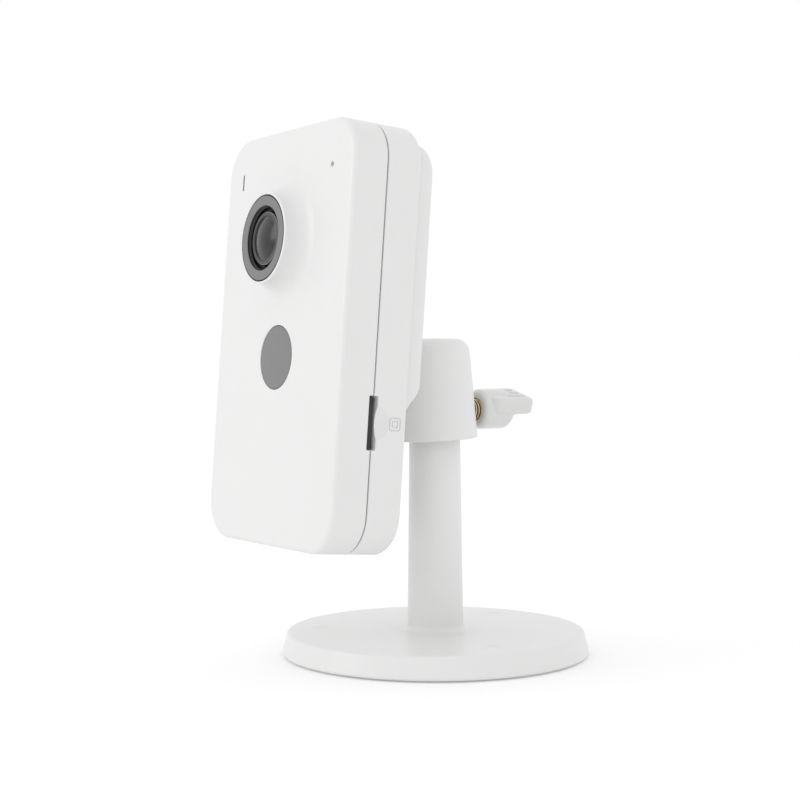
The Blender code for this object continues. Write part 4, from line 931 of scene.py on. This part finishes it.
def build_stand():
    """The disc and its column, one moulding, with three knock-out screw holes."""
    stand = sizes("stand")
    recess, roof = stand.base_radius - stand.rim_wall, stand.base_top - stand.plate
    core, core_top, edge = 2.3 * mm, 13.5 * mm, stand.edge
    groove_low, groove_high, groove = 54.4 * mm, 55.5 * mm, 5.2 * mm
    outline = [(0, stand.spigot_top), (stand.spigot, stand.spigot_top, 0.3 * mm),
               (stand.spigot, groove_high), (groove, groove_high), (groove, groove_low),
               (stand.spigot, groove_low), (stand.spigot, stand.shoulder),
               (stand.top_radius, stand.shoulder, 0.15 * mm),
               (stand.foot_radius, stand.base_top, stand.foot_fillet),
               (stand.base_top_radius, stand.base_top, edge),
               (stand.base_radius, stand.underside, 0.6 * mm), (recess, stand.underside, 0.2 * mm),
               (recess, roof), (core, roof), (core, core_top), (0, core_top)]
    piece = turned("base_and_column", soften(outline), steps=160)
    radius, ceiling = stand.hole_radius, stand.base_top - stand.hole_skin
    boss_radius, boss_foot = 4.0 * mm, 0.9 * mm
    for i, (x, y) in enumerate(hole_places()):
        join(piece, rod(f"boss_{i}", boss_radius, boss_foot, stand.base_top - stand.plate / 2,
                        moved(x, y)))
        hole = rod(f"hole_{i}", radius, -mm, ceiling, moved(x, y), 48)
        dimple = turned(f"dimple_{i}", [(0, mm), (radius + 0.1 * mm, mm),
                                        (radius + 0.05 * mm, -0.03 * mm),
                                        (radius - 0.2 * mm, -0.1 * mm), (0, -0.15 * mm)],
                        moved(x, y, stand.base_top), 48)
        cut(piece, hole, dimple)
    return settle(piece, "stand", "white_plastic", "white_plastic", "stand")


def build_pad():
    """The anti-slip pad with its studded underside."""
    stand = sizes("stand")
    radius = stand.base_radius - stand.rim_wall - GAP
    skin = 0.2 * mm
    piece = turned("anti_slip_pad_studded", soften([
        (0, stand.pad_thickness), (radius, stand.pad_thickness, 0.12 * mm),
        (radius, skin, 0.12 * mm), (0, skin)]), steps=128)
    for i, (x, y) in enumerate(hole_places()):
        cut(piece, rod(f"pad_hole_{i}", 2.4 * mm, -mm, 2 * mm, moved(x, y), 40))
    settle(piece, "stand", "rubber", "rubber", "anti_slip_pad")
    stud = turned("stud", [(0, 0), (0.35 * mm, 0.02 * mm), (0.62 * mm, 0.14 * mm),
                           (0.7 * mm, 0.25 * mm), (0, 0.25 * mm)], steps=8)
    spots = bpy.data.meshes.new("hole_spots")
    spots.from_pydata([(x, y, 0) for x, y in hole_places()], [], [])
    marks = shown("hole_spots", spots)
    studs = grow("anti_slip_studs", stud_tree(), Piece=stud, Radius=radius - 1.2 * mm,
                 Pitch=stand.stud_pitch, Rows=29, Holes=marks, Clear=3.6 * mm,
                 Material=FINISHES["rubber"])
    bpy.data.objects.remove(stud)
    bpy.data.objects.remove(marks)
    return settle(studs, "stand", "rubber", "rubber")


# ---- hood, ball joint and clamp -----------------------------------------------------------------
def build_hood():
    """The swivelling cap over the column and ball, its rim dipping to the front."""
    hood, joint, clamp = sizes("hood"), sizes("joint"), sizes("clamp")
    wall = hood.rim_radius - hood.rim_wall
    outline = [(0, hood.top), (hood.top_radius, hood.top, hood.top_fillet),
               (hood.rim_radius, hood.rim, 0.35 * mm), (wall, hood.rim, 0.3 * mm),
               (wall, hood.bearing + 0.4 * mm), (hood.bore, hood.bearing + 0.4 * mm),
               (hood.bore, BALL_CENTRE.z)]
    outline = soften(outline) + arc(0, BALL_CENTRE.z, hood.bore, 0, 90)[1:-1]
    outline += [(0, BALL_CENTRE.z + hood.bore)]
    piece = turned("swivel_hood", outline, steps=128)
    slant, high, low = math.tan(hood.slant), hood.rim + 12 * mm, hood.rim + 2 * mm
    for vertex in piece.data.vertices:
        spot = vertex.co
        dip = min(1.0, max(0.0, (high - spot.z) / (high - low)))
        spot.z += spot.y * slant * dip * dip * (3 - 2 * dip)
    wide = 2 * (joint.neck + hood.neck_gap)
    tall = hood.window_high - hood.window_low
    window = slab("neck_window", depth_rings(-20 * mm, -joint.ball / 3), wide, tall,
                  wide * 0.499, moved(0, 0, (hood.window_high + hood.window_low) / 2))
    rim = clamp.crest + SCREW_ROOM
    at = moved(0, 0, clamp.height) @ BACKWARD
    start, flare, mouth = 3 * mm, 0.6 * mm, 9.35 * mm
    bore = turned("screw_bore", [(0, start), (rim, start), (rim, mouth),
                                 (rim + flare, mouth + flare), (rim + flare, 12 * mm),
                                 (0, 12 * mm)], at, 48)
    cut(piece, window, bore)
    return settle(piece, "hood", "white_plastic", "white_plastic", "hood")


def build_ball_stud():
    """Ball, waisted neck and flange, turned in one piece."""
    joint, head = sizes("joint"), sizes("head")
    seat = head.reach - head.block_depth - head.boss_step - GAP
    back = seat - joint.flange_thickness
    tail = seat + joint.shank_length
    flare = joint.flange - GAP - joint.neck
    lowest = math.degrees(math.asin(joint.neck / joint.ball))
    outline = soften([(0, tail), (joint.shank, tail, 0.4 * mm), (joint.shank, seat),
                      (joint.flange, seat, 0.3 * mm), (joint.flange, back, 0.35 * mm),
                      (joint.neck, back, flare * 0.92), (joint.neck, back - flare * 1.2)])
    outline += arc(0, 0, joint.ball, 90 - lowest, -90, 30)[:-1] + [(0, -joint.ball)]
    piece = turned("ball_and_neck", outline, HOLDING @ FORWARD, 96)
    return settle(piece, "ball_stud", "white_plastic", "white_plastic", "ball_stud")


def build_thumb_screw():
    """The brass screw with its rolled thread."""
    clamp = sizes("clamp")
    middle = clamp.tip + clamp.screw_length / 2
    piece = grow("brass_thumb_screw", thread_tree(), moved(0, middle, clamp.height) @ BACKWARD,
                 Crest=clamp.crest, Depth=clamp.thread_depth, Pitch=clamp.pitch,
                 Length=clamp.screw_length, Sides=49, Rows=157, Material=FINISHES["brass"])
    outward(piece)
    return settle(piece, "thumb_screw", "brass", "brass", "thumb_screw", sharp=60.0)


def outward(piece):
    """Turn a closed mesh's faces to the outside."""
    body = bmesh.new()
    body.from_mesh(piece.data)
    bmesh.ops.recalc_face_normals(body, faces=body.faces)
    body.to_mesh(piece.data)
    body.free()


def build_knob():
    """The knob: a round hub blended into a flat ribbed paddle."""
    clamp = sizes("clamp")
    axis = moved(0, 0, clamp.height)
    hub_end = clamp.knob_front + clamp.hub_length
    piece = turned("knob", soften([
        (0, clamp.knob_front), (clamp.hub_radius, clamp.knob_front, 1.3 * mm),
        (clamp.hub_radius, hub_end, 2.6 * mm), (0, hub_end)]), axis @ BACKWARD, 96)
    long = clamp.knob_end - clamp.paddle_start
    turn = axis @ Matrix.Rotation(clamp.paddle_turn, 4, "Y") @ moved(0, 0, clamp.paddle_rise)
    lying = turn @ moved(0, clamp.paddle_start + long / 2, 0) @ FORWARD
    thick = clamp.paddle_thickness
    paddle = slab("paddle", depth_rings(-thick / 2, thick / 2, 1.2 * mm, 1.2 * mm, 10),
                  clamp.paddle_width, long, 2.2 * mm, lying)
    join(piece, paddle)
    modify(piece, "REMESH", mode="VOXEL", voxel_size=0.2 * mm, use_smooth_shade=True)
    modify(piece, "SMOOTH", factor=0.5, iterations=16)
    bake(piece)
    rise, edge = 0.45 * mm, 0.44 * mm
    rib = slab("rib", depth_rings(-rise, rise, edge, edge, 5), 1.1 * mm, 5.4 * mm, 0.5 * mm,
               FORWARD, 5)
    ribs = grow("ribs", row_tree(),
                turn @ moved(0, clamp.knob_end - 4.6 * mm, thick / 2 - 0.12 * mm),
                Piece=rib, Count=clamp.ribs, Pitch=clamp.rib_pitch,
                Material=FINISHES["knob_plastic"])
    bpy.data.objects.remove(rib)
    join(piece, ribs)
    cut(piece, rod("screw_room", clamp.crest + SCREW_ROOM, clamp.knob_front - mm,
                   clamp.tip + clamp.screw_length + GAP, axis @ BACKWARD, 48))
    return settle(piece, "thumb_screw", "knob_plastic", "knob_plastic", "screw_knob", sharp=40.0)


# ---- head shells --------------------------------------------------------------------------------
def screw_places():
    head = sizes("head")
    return [(x * head.screw_span / 2, head.screw_middle + z * head.screw_rise / 2)
            for z in (1, -1) for x in (-1, 1)]


def card_side(at, depth):
    """A place on the head's side, level with the card."""
    return at @ moved(sizes("head").width / 2, depth, sizes("card").height) @ SIDEWAYS


def card_cutter(name, at):
    card = sizes("card")
    return slab(name, mouth_rings(0.3 * mm, 4.6 * mm), card.slot_width, card.slot_length,
                0.35 * mm, card_side(at, card.depth), 4)


def card_mark(at):
    """Cutters for the small engraved mark of a memory card beside the slot."""
    card = sizes("card")
    place = card_side(at, card.icon_depth)
    line, deep = 0.28 * mm, 0.2 * mm
    marks = []
    for name, part, corner in (("mark", 1.0, 0.6 * mm), ("mark_inside", 0.52, 0.15 * mm)):
        wide = card.icon_size * part
        outer = slab(name, [(0, -mm), (0, deep)], wide, wide, corner, place, 5)
        room = slab(f"{name}_room", [(0, -2 * mm), (0, 2 * deep)], wide - 2 * line,
                    wide - 2 * line, max(corner - line, 0.1 * mm), place, 5)
        marks.append(cut(outer, room))
    return marks


def build_front_shell():
    """The front shell: face, rounded sides and the raised bezel, in one moulding."""
    head, lens = sizes("head"), sizes("lens")
    at = head_matrix()
    wall, floor, deep = head.side_wall, head.front_wall, head.front_depth
    ease = 0.14 * mm
    rings = depth_rings(0, deep, head.front_edge)[:-1]
    rings += [(0, deep - ease), (ease, deep), (wall - ease, deep), (wall, deep - ease),
              (wall, floor + 0.6 * mm), (wall + 0.2 * mm, floor + 0.2 * mm),
              (wall + 0.6 * mm, floor)]
    piece = slab("front_housing", rings, head.width, head.height, head.corner, at, 16)

    divide(piece, at, (lens.indicator_x, lens.mic_x), (lens.marks_height,))

    axis = at @ moved(0, 0, lens.height) @ FORWARD
    out, radius, fillet = lens.bezel_out, lens.bezel_radius, lens.bezel_fillet
    cut(piece, rod("lens_hole", lens.bezel_bore + lens.rim_edge, -deep, mm, axis, 96))
    ring = soften([(lens.bezel_bore, -floor / 2), (lens.bezel_bore, out, 0.06 * mm),
                   (radius, out, lens.rim_edge), (radius, fillet)])
    ring += arc(radius + fillet, fillet - 0.02 * mm, fillet, 180, 270, 26)[:-1]
    ring += [(radius + fillet, -floor / 2)]
    join(piece, turned("bezel", ring, axis, 128, ring=True))

    bottom, bore, wide, top = head.screw_seat - 9.3 * mm, 1.6 * mm, 3.1 * mm, 9.6 * mm
    for i, (x, z) in enumerate(screw_places()):
        join(piece, turned(f"front_post_{i}", [
            (0, bottom), (bore, bottom), (bore, top), (wide, top), (wide, floor / 2),
            (0, floor / 2)], at @ moved(x, 0, z) @ BACKWARD, 32))

    window = turned("window_hole", mouth_outline(lens.window_radius + 0.12 * mm, 0.15 * mm, deep),
                    at @ moved(0, 0, lens.window_height) @ FORWARD, 128)
    slit = slab("indicator_slit", mouth_rings(0.04 * mm, 6 * mm), lens.indicator_width + 0.06 * mm,
                lens.indicator_length + 0.06 * mm, lens.indicator_width * 0.54,
                at @ moved(lens.indicator_x, 0, lens.marks_height), 8)
    mic = turned("mic_hole", mouth_outline(lens.mic_radius, 0.12 * mm, 3 * mm),
                 at @ moved(lens.mic_x, 0, lens.marks_height) @ FORWARD, 40)
    cut(piece, window, slit, mic, card_cutter("front_card_slot", at))
    return settle(piece, "head", "white_plastic", "white_plastic", "front_shell")


def raised_block(name, at, stop, inset):
    """The raised part of the back, its lower end sloping in to the shell."""
    head = sizes("head")
    rise = head.block_depth - head.shell_depth
    start, low, run = head.front_depth + 4 * mm, head.slope_foot - rise, 20 * mm
    tall = 2 * (head.block_top - inset - low)
    wide = head.width - 2 * head.block_inset - 2 * inset
    edge = 0.0 if inset else head.rear_edge
    piece = slab(name, depth_rings(start, stop, 0, edge), wide, tall, head.block_corner - inset,
                 at @ moved(0, 0, low), 14)
    slope = rise / (head.slope_top - head.slope_foot)
    drop = inset * math.hypot(1, slope)
    foot = (head.shell_depth - drop - slope * run, head.slope_foot - run)
    past = (head.shell_depth - drop + slope * run, head.slope_foot + run)
    bottom = low - tall
    cut(piece, prism(f"{name}_slope", [foot, past, (past[0], bottom), (foot[0], bottom)],
                     head.width, at))
    if not inset:
        modify(piece, "BEVEL", width=0.7 * mm, segments=4, limit_method="ANGLE",
               angle_limit=math.radians(25), use_clamp_overlap=True)
        bake(piece)
    return piece


def build_rear_shell():
    """The back: rim, raised block, mount boss, grille, button hole and socket opening."""
    head, joint, card = sizes("head"), sizes("joint"), sizes("card")
    at = head_matrix()
    seam, deep, wall = head.front_depth + GAP, head.shell_depth, head.rear_wall
    ease, inner = 0.14 * mm, deep - wall
    rings = [(ease, seam), (0, seam + ease)] + depth_rings(seam, deep, 0, head.rear_edge)[1:]
    piece = slab("rear_housing", rings, head.width, head.height, head.corner, at, 16)
    tongue = head.side_wall + GAP
    lip_slab = slab("lip", [(0, seam - 1.4 * mm), (0, seam + mm)], head.width - 2 * tongue,
                    head.height - 2 * tongue, head.corner - tongue, at, 12)
    mount = at @ moved(0, 0, -head.rise) @ BACKWARD
    back = head.block_depth + head.boss_step
    boss = turned("boss", soften([(0, inner + GAP), (head.boss_radius, inner + GAP),
                                  (head.boss_radius, back, 0.3 * mm), (0, back)]), mount, 96)
    block = raised_block("raised_block", at, head.block_depth, 0)
    divide(piece, at, (head.reset_x,), (head.reset_z, card.height))
    divide(block, at)
    join(piece, lip_slab, block, boss)

    side = head.rear_side_wall
    cavity = slab("cavity", [(0, seam - 3 * mm), (0, inner)], head.width - 2 * side,
                  head.height - 2 * side, head.corner - side, at, 12)
    upper = raised_block("upper_cavity", at, head.block_depth - wall, wall)
    shank, nut = joint.shank + GAP, 7.4 * mm
    room = turned("stud_room", [(0, back + mm), (shank, back + mm), (shank, back - wall),
                                (nut, back - wall), (nut, head.front_depth),
                                (0, head.front_depth)], mount, 64)
    cut(piece, cavity, upper, room)

    well, ease, hole, low = 2.6 * mm, 0.25 * mm, 1.6 * mm, 9 * mm
    for i, (x, z) in enumerate(screw_places()):
        top = head.block_depth if z > head.slope_top else deep
        post = at @ moved(x, 0, z) @ BACKWARD
        join(piece, rod(f"post_{i}", 3.5 * mm, 10.2 * mm, top - wall / 2, post, 40))
        mouth = [(well + wider, top - depth) for wider, depth in lip(ease)]
        cut(piece, turned(f"post_bore_{i}", [(0, top + mm), (well + ease, top + mm)] + mouth + [
            (well, head.screw_seat), (hole, head.screw_seat), (hole, low), (0, low)], post, 40))

    grille = grow("grille", grille_tree(), at @ moved(head.grille_x, deep, head.grille_z),
                  Radius=head.grille_radius, Bar=head.grille_slot, Pitch=head.grille_pitch,
                  Deep=6 * mm, Count=head.grille_slots, Material=FINISHES["white_plastic"])
    reset = turned("reset_hole", mouth_outline(1.9 * mm, 0.2 * mm, 3 * mm),
                   at @ moved(head.reset_x, deep, head.reset_z) @ BACKWARD, 40)
    socket_x, socket_depth = 9 * mm, 13.25 * mm
    power = slab("power_opening", [(0, -5 * mm), (0, 5 * mm)], 8.2 * mm, 3.3 * mm, 0.8 * mm,
                 at @ moved(socket_x, socket_depth, -head.height / 2) @ FORWARD, 6)
    scoop = turned("scoop", arc(0, 0, card.scoop_radius, 90, -90, 28), at @ moved(
        head.width / 2 + card.scoop_radius - card.scoop_depth,
        card.depth + 0.5 * mm, card.height), 56)
    cut(piece, grille, reset, power, card_cutter("rear_card_slot", at), scoop, *card_mark(at))
    return settle(piece, "head", "white_plastic", "white_plastic", "rear_shell")


def build_housing_screws():
    """Four cross-head screws, sunk in the back."""
    head = sizes("head")
    radius, shank, end = 2.3 * mm, 1.3 * mm, 8.6 * mm
    screw = turned("cross_screw", soften([
        (0, 1.55 * mm), (1.1 * mm, 1.5 * mm), (radius, 0.9 * mm, 0.4 * mm), (radius, 0, 0.1 * mm),
        (shank, 0), (shank, -7.4 * mm), (0.4 * mm, -end), (0, -end)]), BACKWARD, 40)
    for turn in (0, math.pi / 2):
        cut(screw, slab(f"drive_{turn:.0f}", [(0.16 * mm, 0.6 * mm), (0, 2 * mm)], 2.5 * mm,
                        0.6 * mm, 0.1 * mm, Matrix.Rotation(turn, 4, "Y"), 3))
    piece = grow("housing_screws", corner_tree(),
                 head_matrix() @ moved(0, head.screw_seat + GAP, head.screw_middle),
                 Piece=screw, Span=head.screw_span, Rise=head.screw_rise,
                 Material=FINISHES["steel"])
    bpy.data.objects.remove(screw)
    return settle(piece, "head", "steel", "steel", *[f"housing_screw_{i + 1}" for i in range(4)])


# ---- lens and windows ---------------------------------------------------------------------------
def lens_matrix():
    return head_matrix() @ moved(0, 0, sizes("lens").height) @ FORWARD


def build_lens():
    """Trim ring, seal, barrel and the front glass."""
    lens, at = sizes("lens"), lens_matrix()
    face = lens.bezel_out - lens.trim_set
    outer, bore = lens.bezel_bore - 0.2 * mm, lens.trim_bore
    step, edge, foot = bore - 0.35 * mm, 0.1 * mm, face - 1.6 * mm
    trim = turned("trim_ring", soften([
        (bore, face, 0.18 * mm), (outer, face, edge), (outer, foot), (step, foot, edge),
        (step, face - 0.9 * mm, edge), (bore, face - 0.45 * mm)], True), at, 128, True)
    settle(trim, "head", "grey_plastic", "grey_plastic", "lens_trim_ring")

    front = lens.bezel_out - lens.barrel_set
    ring = lens.barrel_radius
    high, low, inner = face - 1.9 * mm, face - 3.3 * mm, ring + 0.25 * mm
    seal = turned("lens_seal_bellows", soften([
        (inner, high, 0.3 * mm), (outer, high), (outer, low), (inner, low)], True), at, 96, True)
    settle(seal, "head", "rubber", "rubber", "lens_seal")

    pocket, glass = lens.glass_radius + 0.08 * mm, lens.glass_radius
    back, seat, body = front - 11.4 * mm, front - 2.6 * mm, 5.6 * mm
    exit_radius, stop = 3.9 * mm, 2.2 * mm
    groove = [(ring, front - (1.1 + 0.5 * k) * mm) for k in range(1, 3)]
    grip = [spot for r, z in groove for spot in ((r, z + 0.16 * mm), (r - 0.2 * mm, z),
                                                 (r, z - 0.16 * mm))]
    barrel = turned("lens_barrel_front", soften([
        (pocket, front, 0.12 * mm), (ring, front, 0.16 * mm), *grip, (ring, low - GAP),
        (body, low - GAP), (body, back), (exit_radius, back), (exit_radius, back + 2.4 * mm),
        (stop, back + 3.4 * mm), (stop, seat - mm), (pocket, seat)], True), at, 96, True)
    settle(barrel, "head", "barrel", "black_plastic", "lens_barrel")

    rim = front - 0.12 * mm
    sphere = (glass ** 2 + lens.glass_crown ** 2) / (2 * lens.glass_crown)
    half = math.degrees(math.asin(glass / sphere))
    dome = arc(0, rim + lens.glass_crown - sphere, sphere, 90, 90 - half, 18)[1:]
    element = turned("front_glass", [(0, rim + lens.glass_crown)] + dome + [
        (glass, rim - 0.9 * mm), (0, rim - 0.9 * mm)], at, 96)
    return settle(element, "head", "lens_glass", "lens_glass", "lens_front_element")


def build_windows():
    """The motion window, the indicator's light pipe and the reset button."""
    lens, at = sizes("lens"), head_matrix()
    radius, thick = lens.window_radius, 1.6 * mm
    behind = -(sizes("head").front_wall + GAP)
    crown, sag, steps, flange, rim = -0.02 * mm, 0.10 * mm, 12, 8.4 * mm, 6.2 * mm
    dome = [(radius * k / steps, crown - sag * (k / steps) ** 2) for k in range(1, steps)]
    window = turned("motion_window", [(0, crown)] + dome + soften([
        (radius * 0.95, -0.11 * mm), (radius, -0.13 * mm, 0.15 * mm), (radius, behind),
        (flange, behind), (flange, behind - mm), (rim, behind - mm), (rim, -thick),
        (0, -thick)]), at @ moved(0, 0, lens.window_height) @ FORWARD, 128)
    settle(window, "head", "sensor_window", "sensor_window", "pir_window")

    width, tall = lens.indicator_width, lens.indicator_length
    mark = at @ moved(lens.indicator_x, 0, lens.marks_height)
    pipe = slab("indicator_window", depth_rings(0.05 * mm, 3 * mm, 0.15 * mm), width - 0.08 * mm,
                tall - 0.08 * mm, width * 0.45, mark, 8)
    foot = slab("pipe_foot", depth_rings(2.3 * mm, 6.3 * mm, 0.2 * mm), width + 2 * mm,
                tall + 2 * mm, 0.5 * mm, mark, 4)
    join(pipe, foot)
    settle(pipe, "head", "light_pipe", "light_pipe", "light_pipe")

    head = sizes("head")
    deep, collar, under, tip = head.shell_depth, 16.0 * mm, 15.65 * mm, 15.5 * mm
    cap, brim, plunger = 1.7 * mm, 2.6 * mm, 0.85 * mm
    button = turned("reset_button_cap", soften([
        (0, deep - 0.35 * mm), (1.2 * mm, deep - 0.32 * mm), (cap, deep - GAP, 0.25 * mm),
        (cap, collar), (brim, collar), (brim, under), (plunger, under), (plunger, tip), (0, tip)]),
        at @ moved(head.reset_x, 0, head.reset_z) @ BACKWARD, 48)
    return settle(button, "reset_button", "light_pipe", "grey_plastic", "reset_button")


CARRIED = {
    "steel": ("ballast_screw", "retaining_ring", "stud_nut"),
    "zinc": ("ballast_plate", "pir_sensor", "microphone", "wifi_module", "power_socket",
             "card_socket"),
    "brass": ("threaded_insert",),
    "nylon": ("pressure_pad", "friction_washer"),
    "aluminium": ("heat_sink", "power_capacitor"),
    "rubber": ("mic_gasket",),
    "black_plastic": ("lens_holder", "wifi_antenna", "speaker", "micro_sd_card",
                      "reset_switch"),
    "chip": ("image_sensor", "processor", "power_inductor"),
    "lens_glass": ("lens_rear_element",),
    "light_pipe": ("indicator_led",),
    "circuit_board": ("main_board",),
}


def finish_inner_parts():
    """Give each CAD node that stays its real finish."""
    for finish, nodes in CARRIED.items():
        for name in nodes:
            node = frame["nodes"][name]
            node.data.materials.clear()
            node.data.materials.append(FINISHES[finish])


# ---- studio -------------------------------------------------------------------------------------
FLOOR_RADIUS = 12
LIGHT_PLACE = Vector((-0.35, -1.1, 0.5))
LIGHT_AIM = Vector((0, -0.03, 0.06))
SENSOR_WIDTH_MM = 36.0


def build_studio():
    """Pale floor, white surroundings, one large soft light and the camera."""
    studio, scene = sizes("studio"), bpy.context.scene
    floor = shown("floor", bpy.data.meshes.new("floor"))
    body = bmesh.new()
    bmesh.ops.create_circle(body, cap_ends=True, segments=96, radius=FLOOR_RADIUS)
    body.to_mesh(floor.data)
    body.free()
    paint = Finish("pale_floor", emission_strength=0.18, specular_ior_level=0.1)
    cloud = paint.noise(90 * mm)
    white, pale = (0.86, 0.86, 0.86), (0.84, 0.84, 0.84)
    tone = paint.mix(cloud, pale, white)
    floor.data.materials.append(paint.show(base_color=tone, roughness=0.9 + cloud * 0.05,
                                           emission_color=tone))

    scene.world = bpy.data.worlds.new("white_surroundings")
    scene.world.use_nodes = True
    sky = scene.world.node_tree.nodes["Background"]
    sky.inputs["Color"].default_value = (1, 1, 1, 1)
    sky.inputs["Strength"].default_value = studio.sky
    scene.view_settings.view_transform = "Standard"

    lamp = bpy.data.lights.new("front_softbox", "AREA")
    lamp.energy, lamp.size = studio.key, studio.key_size
    light = bpy.data.objects.new("front_softbox", lamp)
    scene.collection.objects.link(light)
    turn = (LIGHT_AIM - LIGHT_PLACE).to_track_quat("-Z", "Y").to_matrix().to_4x4()
    light.matrix_world = Matrix.Translation(LIGHT_PLACE) @ turn

    out = studio.azimuth
    place = Vector((studio.distance * math.sin(out), -studio.distance * math.cos(out),
                    studio.height))
    heading, tip = out + studio.yaw, studio.pitch
    ahead = Vector((-math.sin(heading) * math.cos(tip), math.cos(heading) * math.cos(tip),
                    math.sin(tip)))
    right = Vector((math.cos(heading), math.sin(heading), 0))
    up = right.cross(ahead)
    c, s = math.cos(studio.roll), math.sin(studio.roll)
    axes = (right * c + up * s, up * c - right * s, -ahead)
    data = bpy.data.cameras.new("view")
    data.lens, data.sensor_width = studio.focal / mm, SENSOR_WIDTH_MM
    data.clip_start, data.clip_end = 0.01, 50.0
    eye = bpy.data.objects.new("view", data)
    scene.collection.objects.link(eye)
    eye.matrix_world = Matrix.Translation(place) @ Matrix(axes).transposed().to_4x4()
    scene.camera = eye


# ---- operators ----------------------------------------------------------------------------------
class CameraStep:
    bl_options = {"REGISTER", "UNDO"}
    steps = ()

    def execute(self, context):
        for step in self.steps:
            step()
        context.view_layer.update()
        return {"FINISHED"}


class SECURITYCAMERA_OT_finishes(CameraStep, bpy.types.Operator):
    """Make the finishes and give the inner parts theirs"""

    bl_idname = "security_camera.finishes"
    bl_label = "Finishes and Inner Parts"
    steps = (make_finishes, finish_inner_parts)


class SECURITYCAMERA_OT_stand(CameraStep, bpy.types.Operator):
    """Make the disc, its column and the anti-slip pad"""

    bl_idname = "security_camera.stand"
    bl_label = "Stand"
    steps = (build_stand, build_pad)


class SECURITYCAMERA_OT_hood(CameraStep, bpy.types.Operator):
    """Make the swivelling hood"""

    bl_idname = "security_camera.hood"
    bl_label = "Hood"
    steps = (build_hood,)


class SECURITYCAMERA_OT_ball(CameraStep, bpy.types.Operator):
    """Make the ball, neck and flange"""

    bl_idname = "security_camera.ball"
    bl_label = "Ball Joint"
    steps = (build_ball_stud,)


class SECURITYCAMERA_OT_clamp(CameraStep, bpy.types.Operator):
    """Make the brass thumb screw and its knob"""

    bl_idname = "security_camera.clamp"
    bl_label = "Thumb Screw"
    steps = (build_thumb_screw, build_knob)


class SECURITYCAMERA_OT_front(CameraStep, bpy.types.Operator):
    """Make the front shell with its bezel"""

    bl_idname = "security_camera.front"
    bl_label = "Front Shell"
    steps = (build_front_shell,)


class SECURITYCAMERA_OT_back(CameraStep, bpy.types.Operator):
    """Make the rear shell and its screws"""

    bl_idname = "security_camera.back"
    bl_label = "Rear Shell"
    steps = (build_rear_shell, build_housing_screws)


class SECURITYCAMERA_OT_lens(CameraStep, bpy.types.Operator):
    """Make the lens and its rings"""

    bl_idname = "security_camera.lens"
    bl_label = "Lens"
    steps = (build_lens,)


class SECURITYCAMERA_OT_windows(CameraStep, bpy.types.Operator):
    """Make the motion window, indicator and reset button"""

    bl_idname = "security_camera.windows"
    bl_label = "Windows and Button"
    steps = (build_windows,)


class SECURITYCAMERA_OT_studio(CameraStep, bpy.types.Operator):
    """Make the floor, the light and the camera"""

    bl_idname = "security_camera.studio"
    bl_label = "Studio"
    steps = (build_studio,)


OPERATORS = (SECURITYCAMERA_OT_studio, SECURITYCAMERA_OT_finishes, SECURITYCAMERA_OT_stand,
             SECURITYCAMERA_OT_hood, SECURITYCAMERA_OT_ball, SECURITYCAMERA_OT_clamp,
             SECURITYCAMERA_OT_front, SECURITYCAMERA_OT_back, SECURITYCAMERA_OT_lens,
             SECURITYCAMERA_OT_windows)


class SECURITYCAMERA_PT_pieces(bpy.types.Panel):
    """The camera's pieces and their sizes"""

    bl_label = "Security Camera"
    bl_idname = "SECURITYCAMERA_PT_pieces"
    bl_space_type = "VIEW_3D"
    bl_region_type = "UI"
    bl_category = "Security Camera"

    def draw(self, context):
        for operator in OPERATORS:
            self.layout.operator(operator.bl_idname)
        for group, kind in GROUPS.items():
            box = self.layout.box()
            box.label(text=group.title())
            for name in kind.__annotations__:
                box.prop(sizes(group), name)


def register():
    for group, kind in GROUPS.items():
        bpy.utils.register_class(kind)
        setattr(bpy.types.Scene, f"security_camera_{group}", PointerProperty(type=kind))
    for kind in (*OPERATORS, SECURITYCAMERA_PT_pieces):
        bpy.utils.register_class(kind)


def unregister():
    for kind in (SECURITYCAMERA_PT_pieces, *reversed(OPERATORS)):
        bpy.utils.unregister_class(kind)
    for group, kind in GROUPS.items():
        delattr(bpy.types.Scene, f"security_camera_{group}")
        bpy.utils.unregister_class(kind)


def main():
    register()
    for operator in OPERATORS:
        group, name = operator.bl_idname.split(".")
        getattr(getattr(bpy.ops, group), name)()


if __name__ == "__main__":
    main()
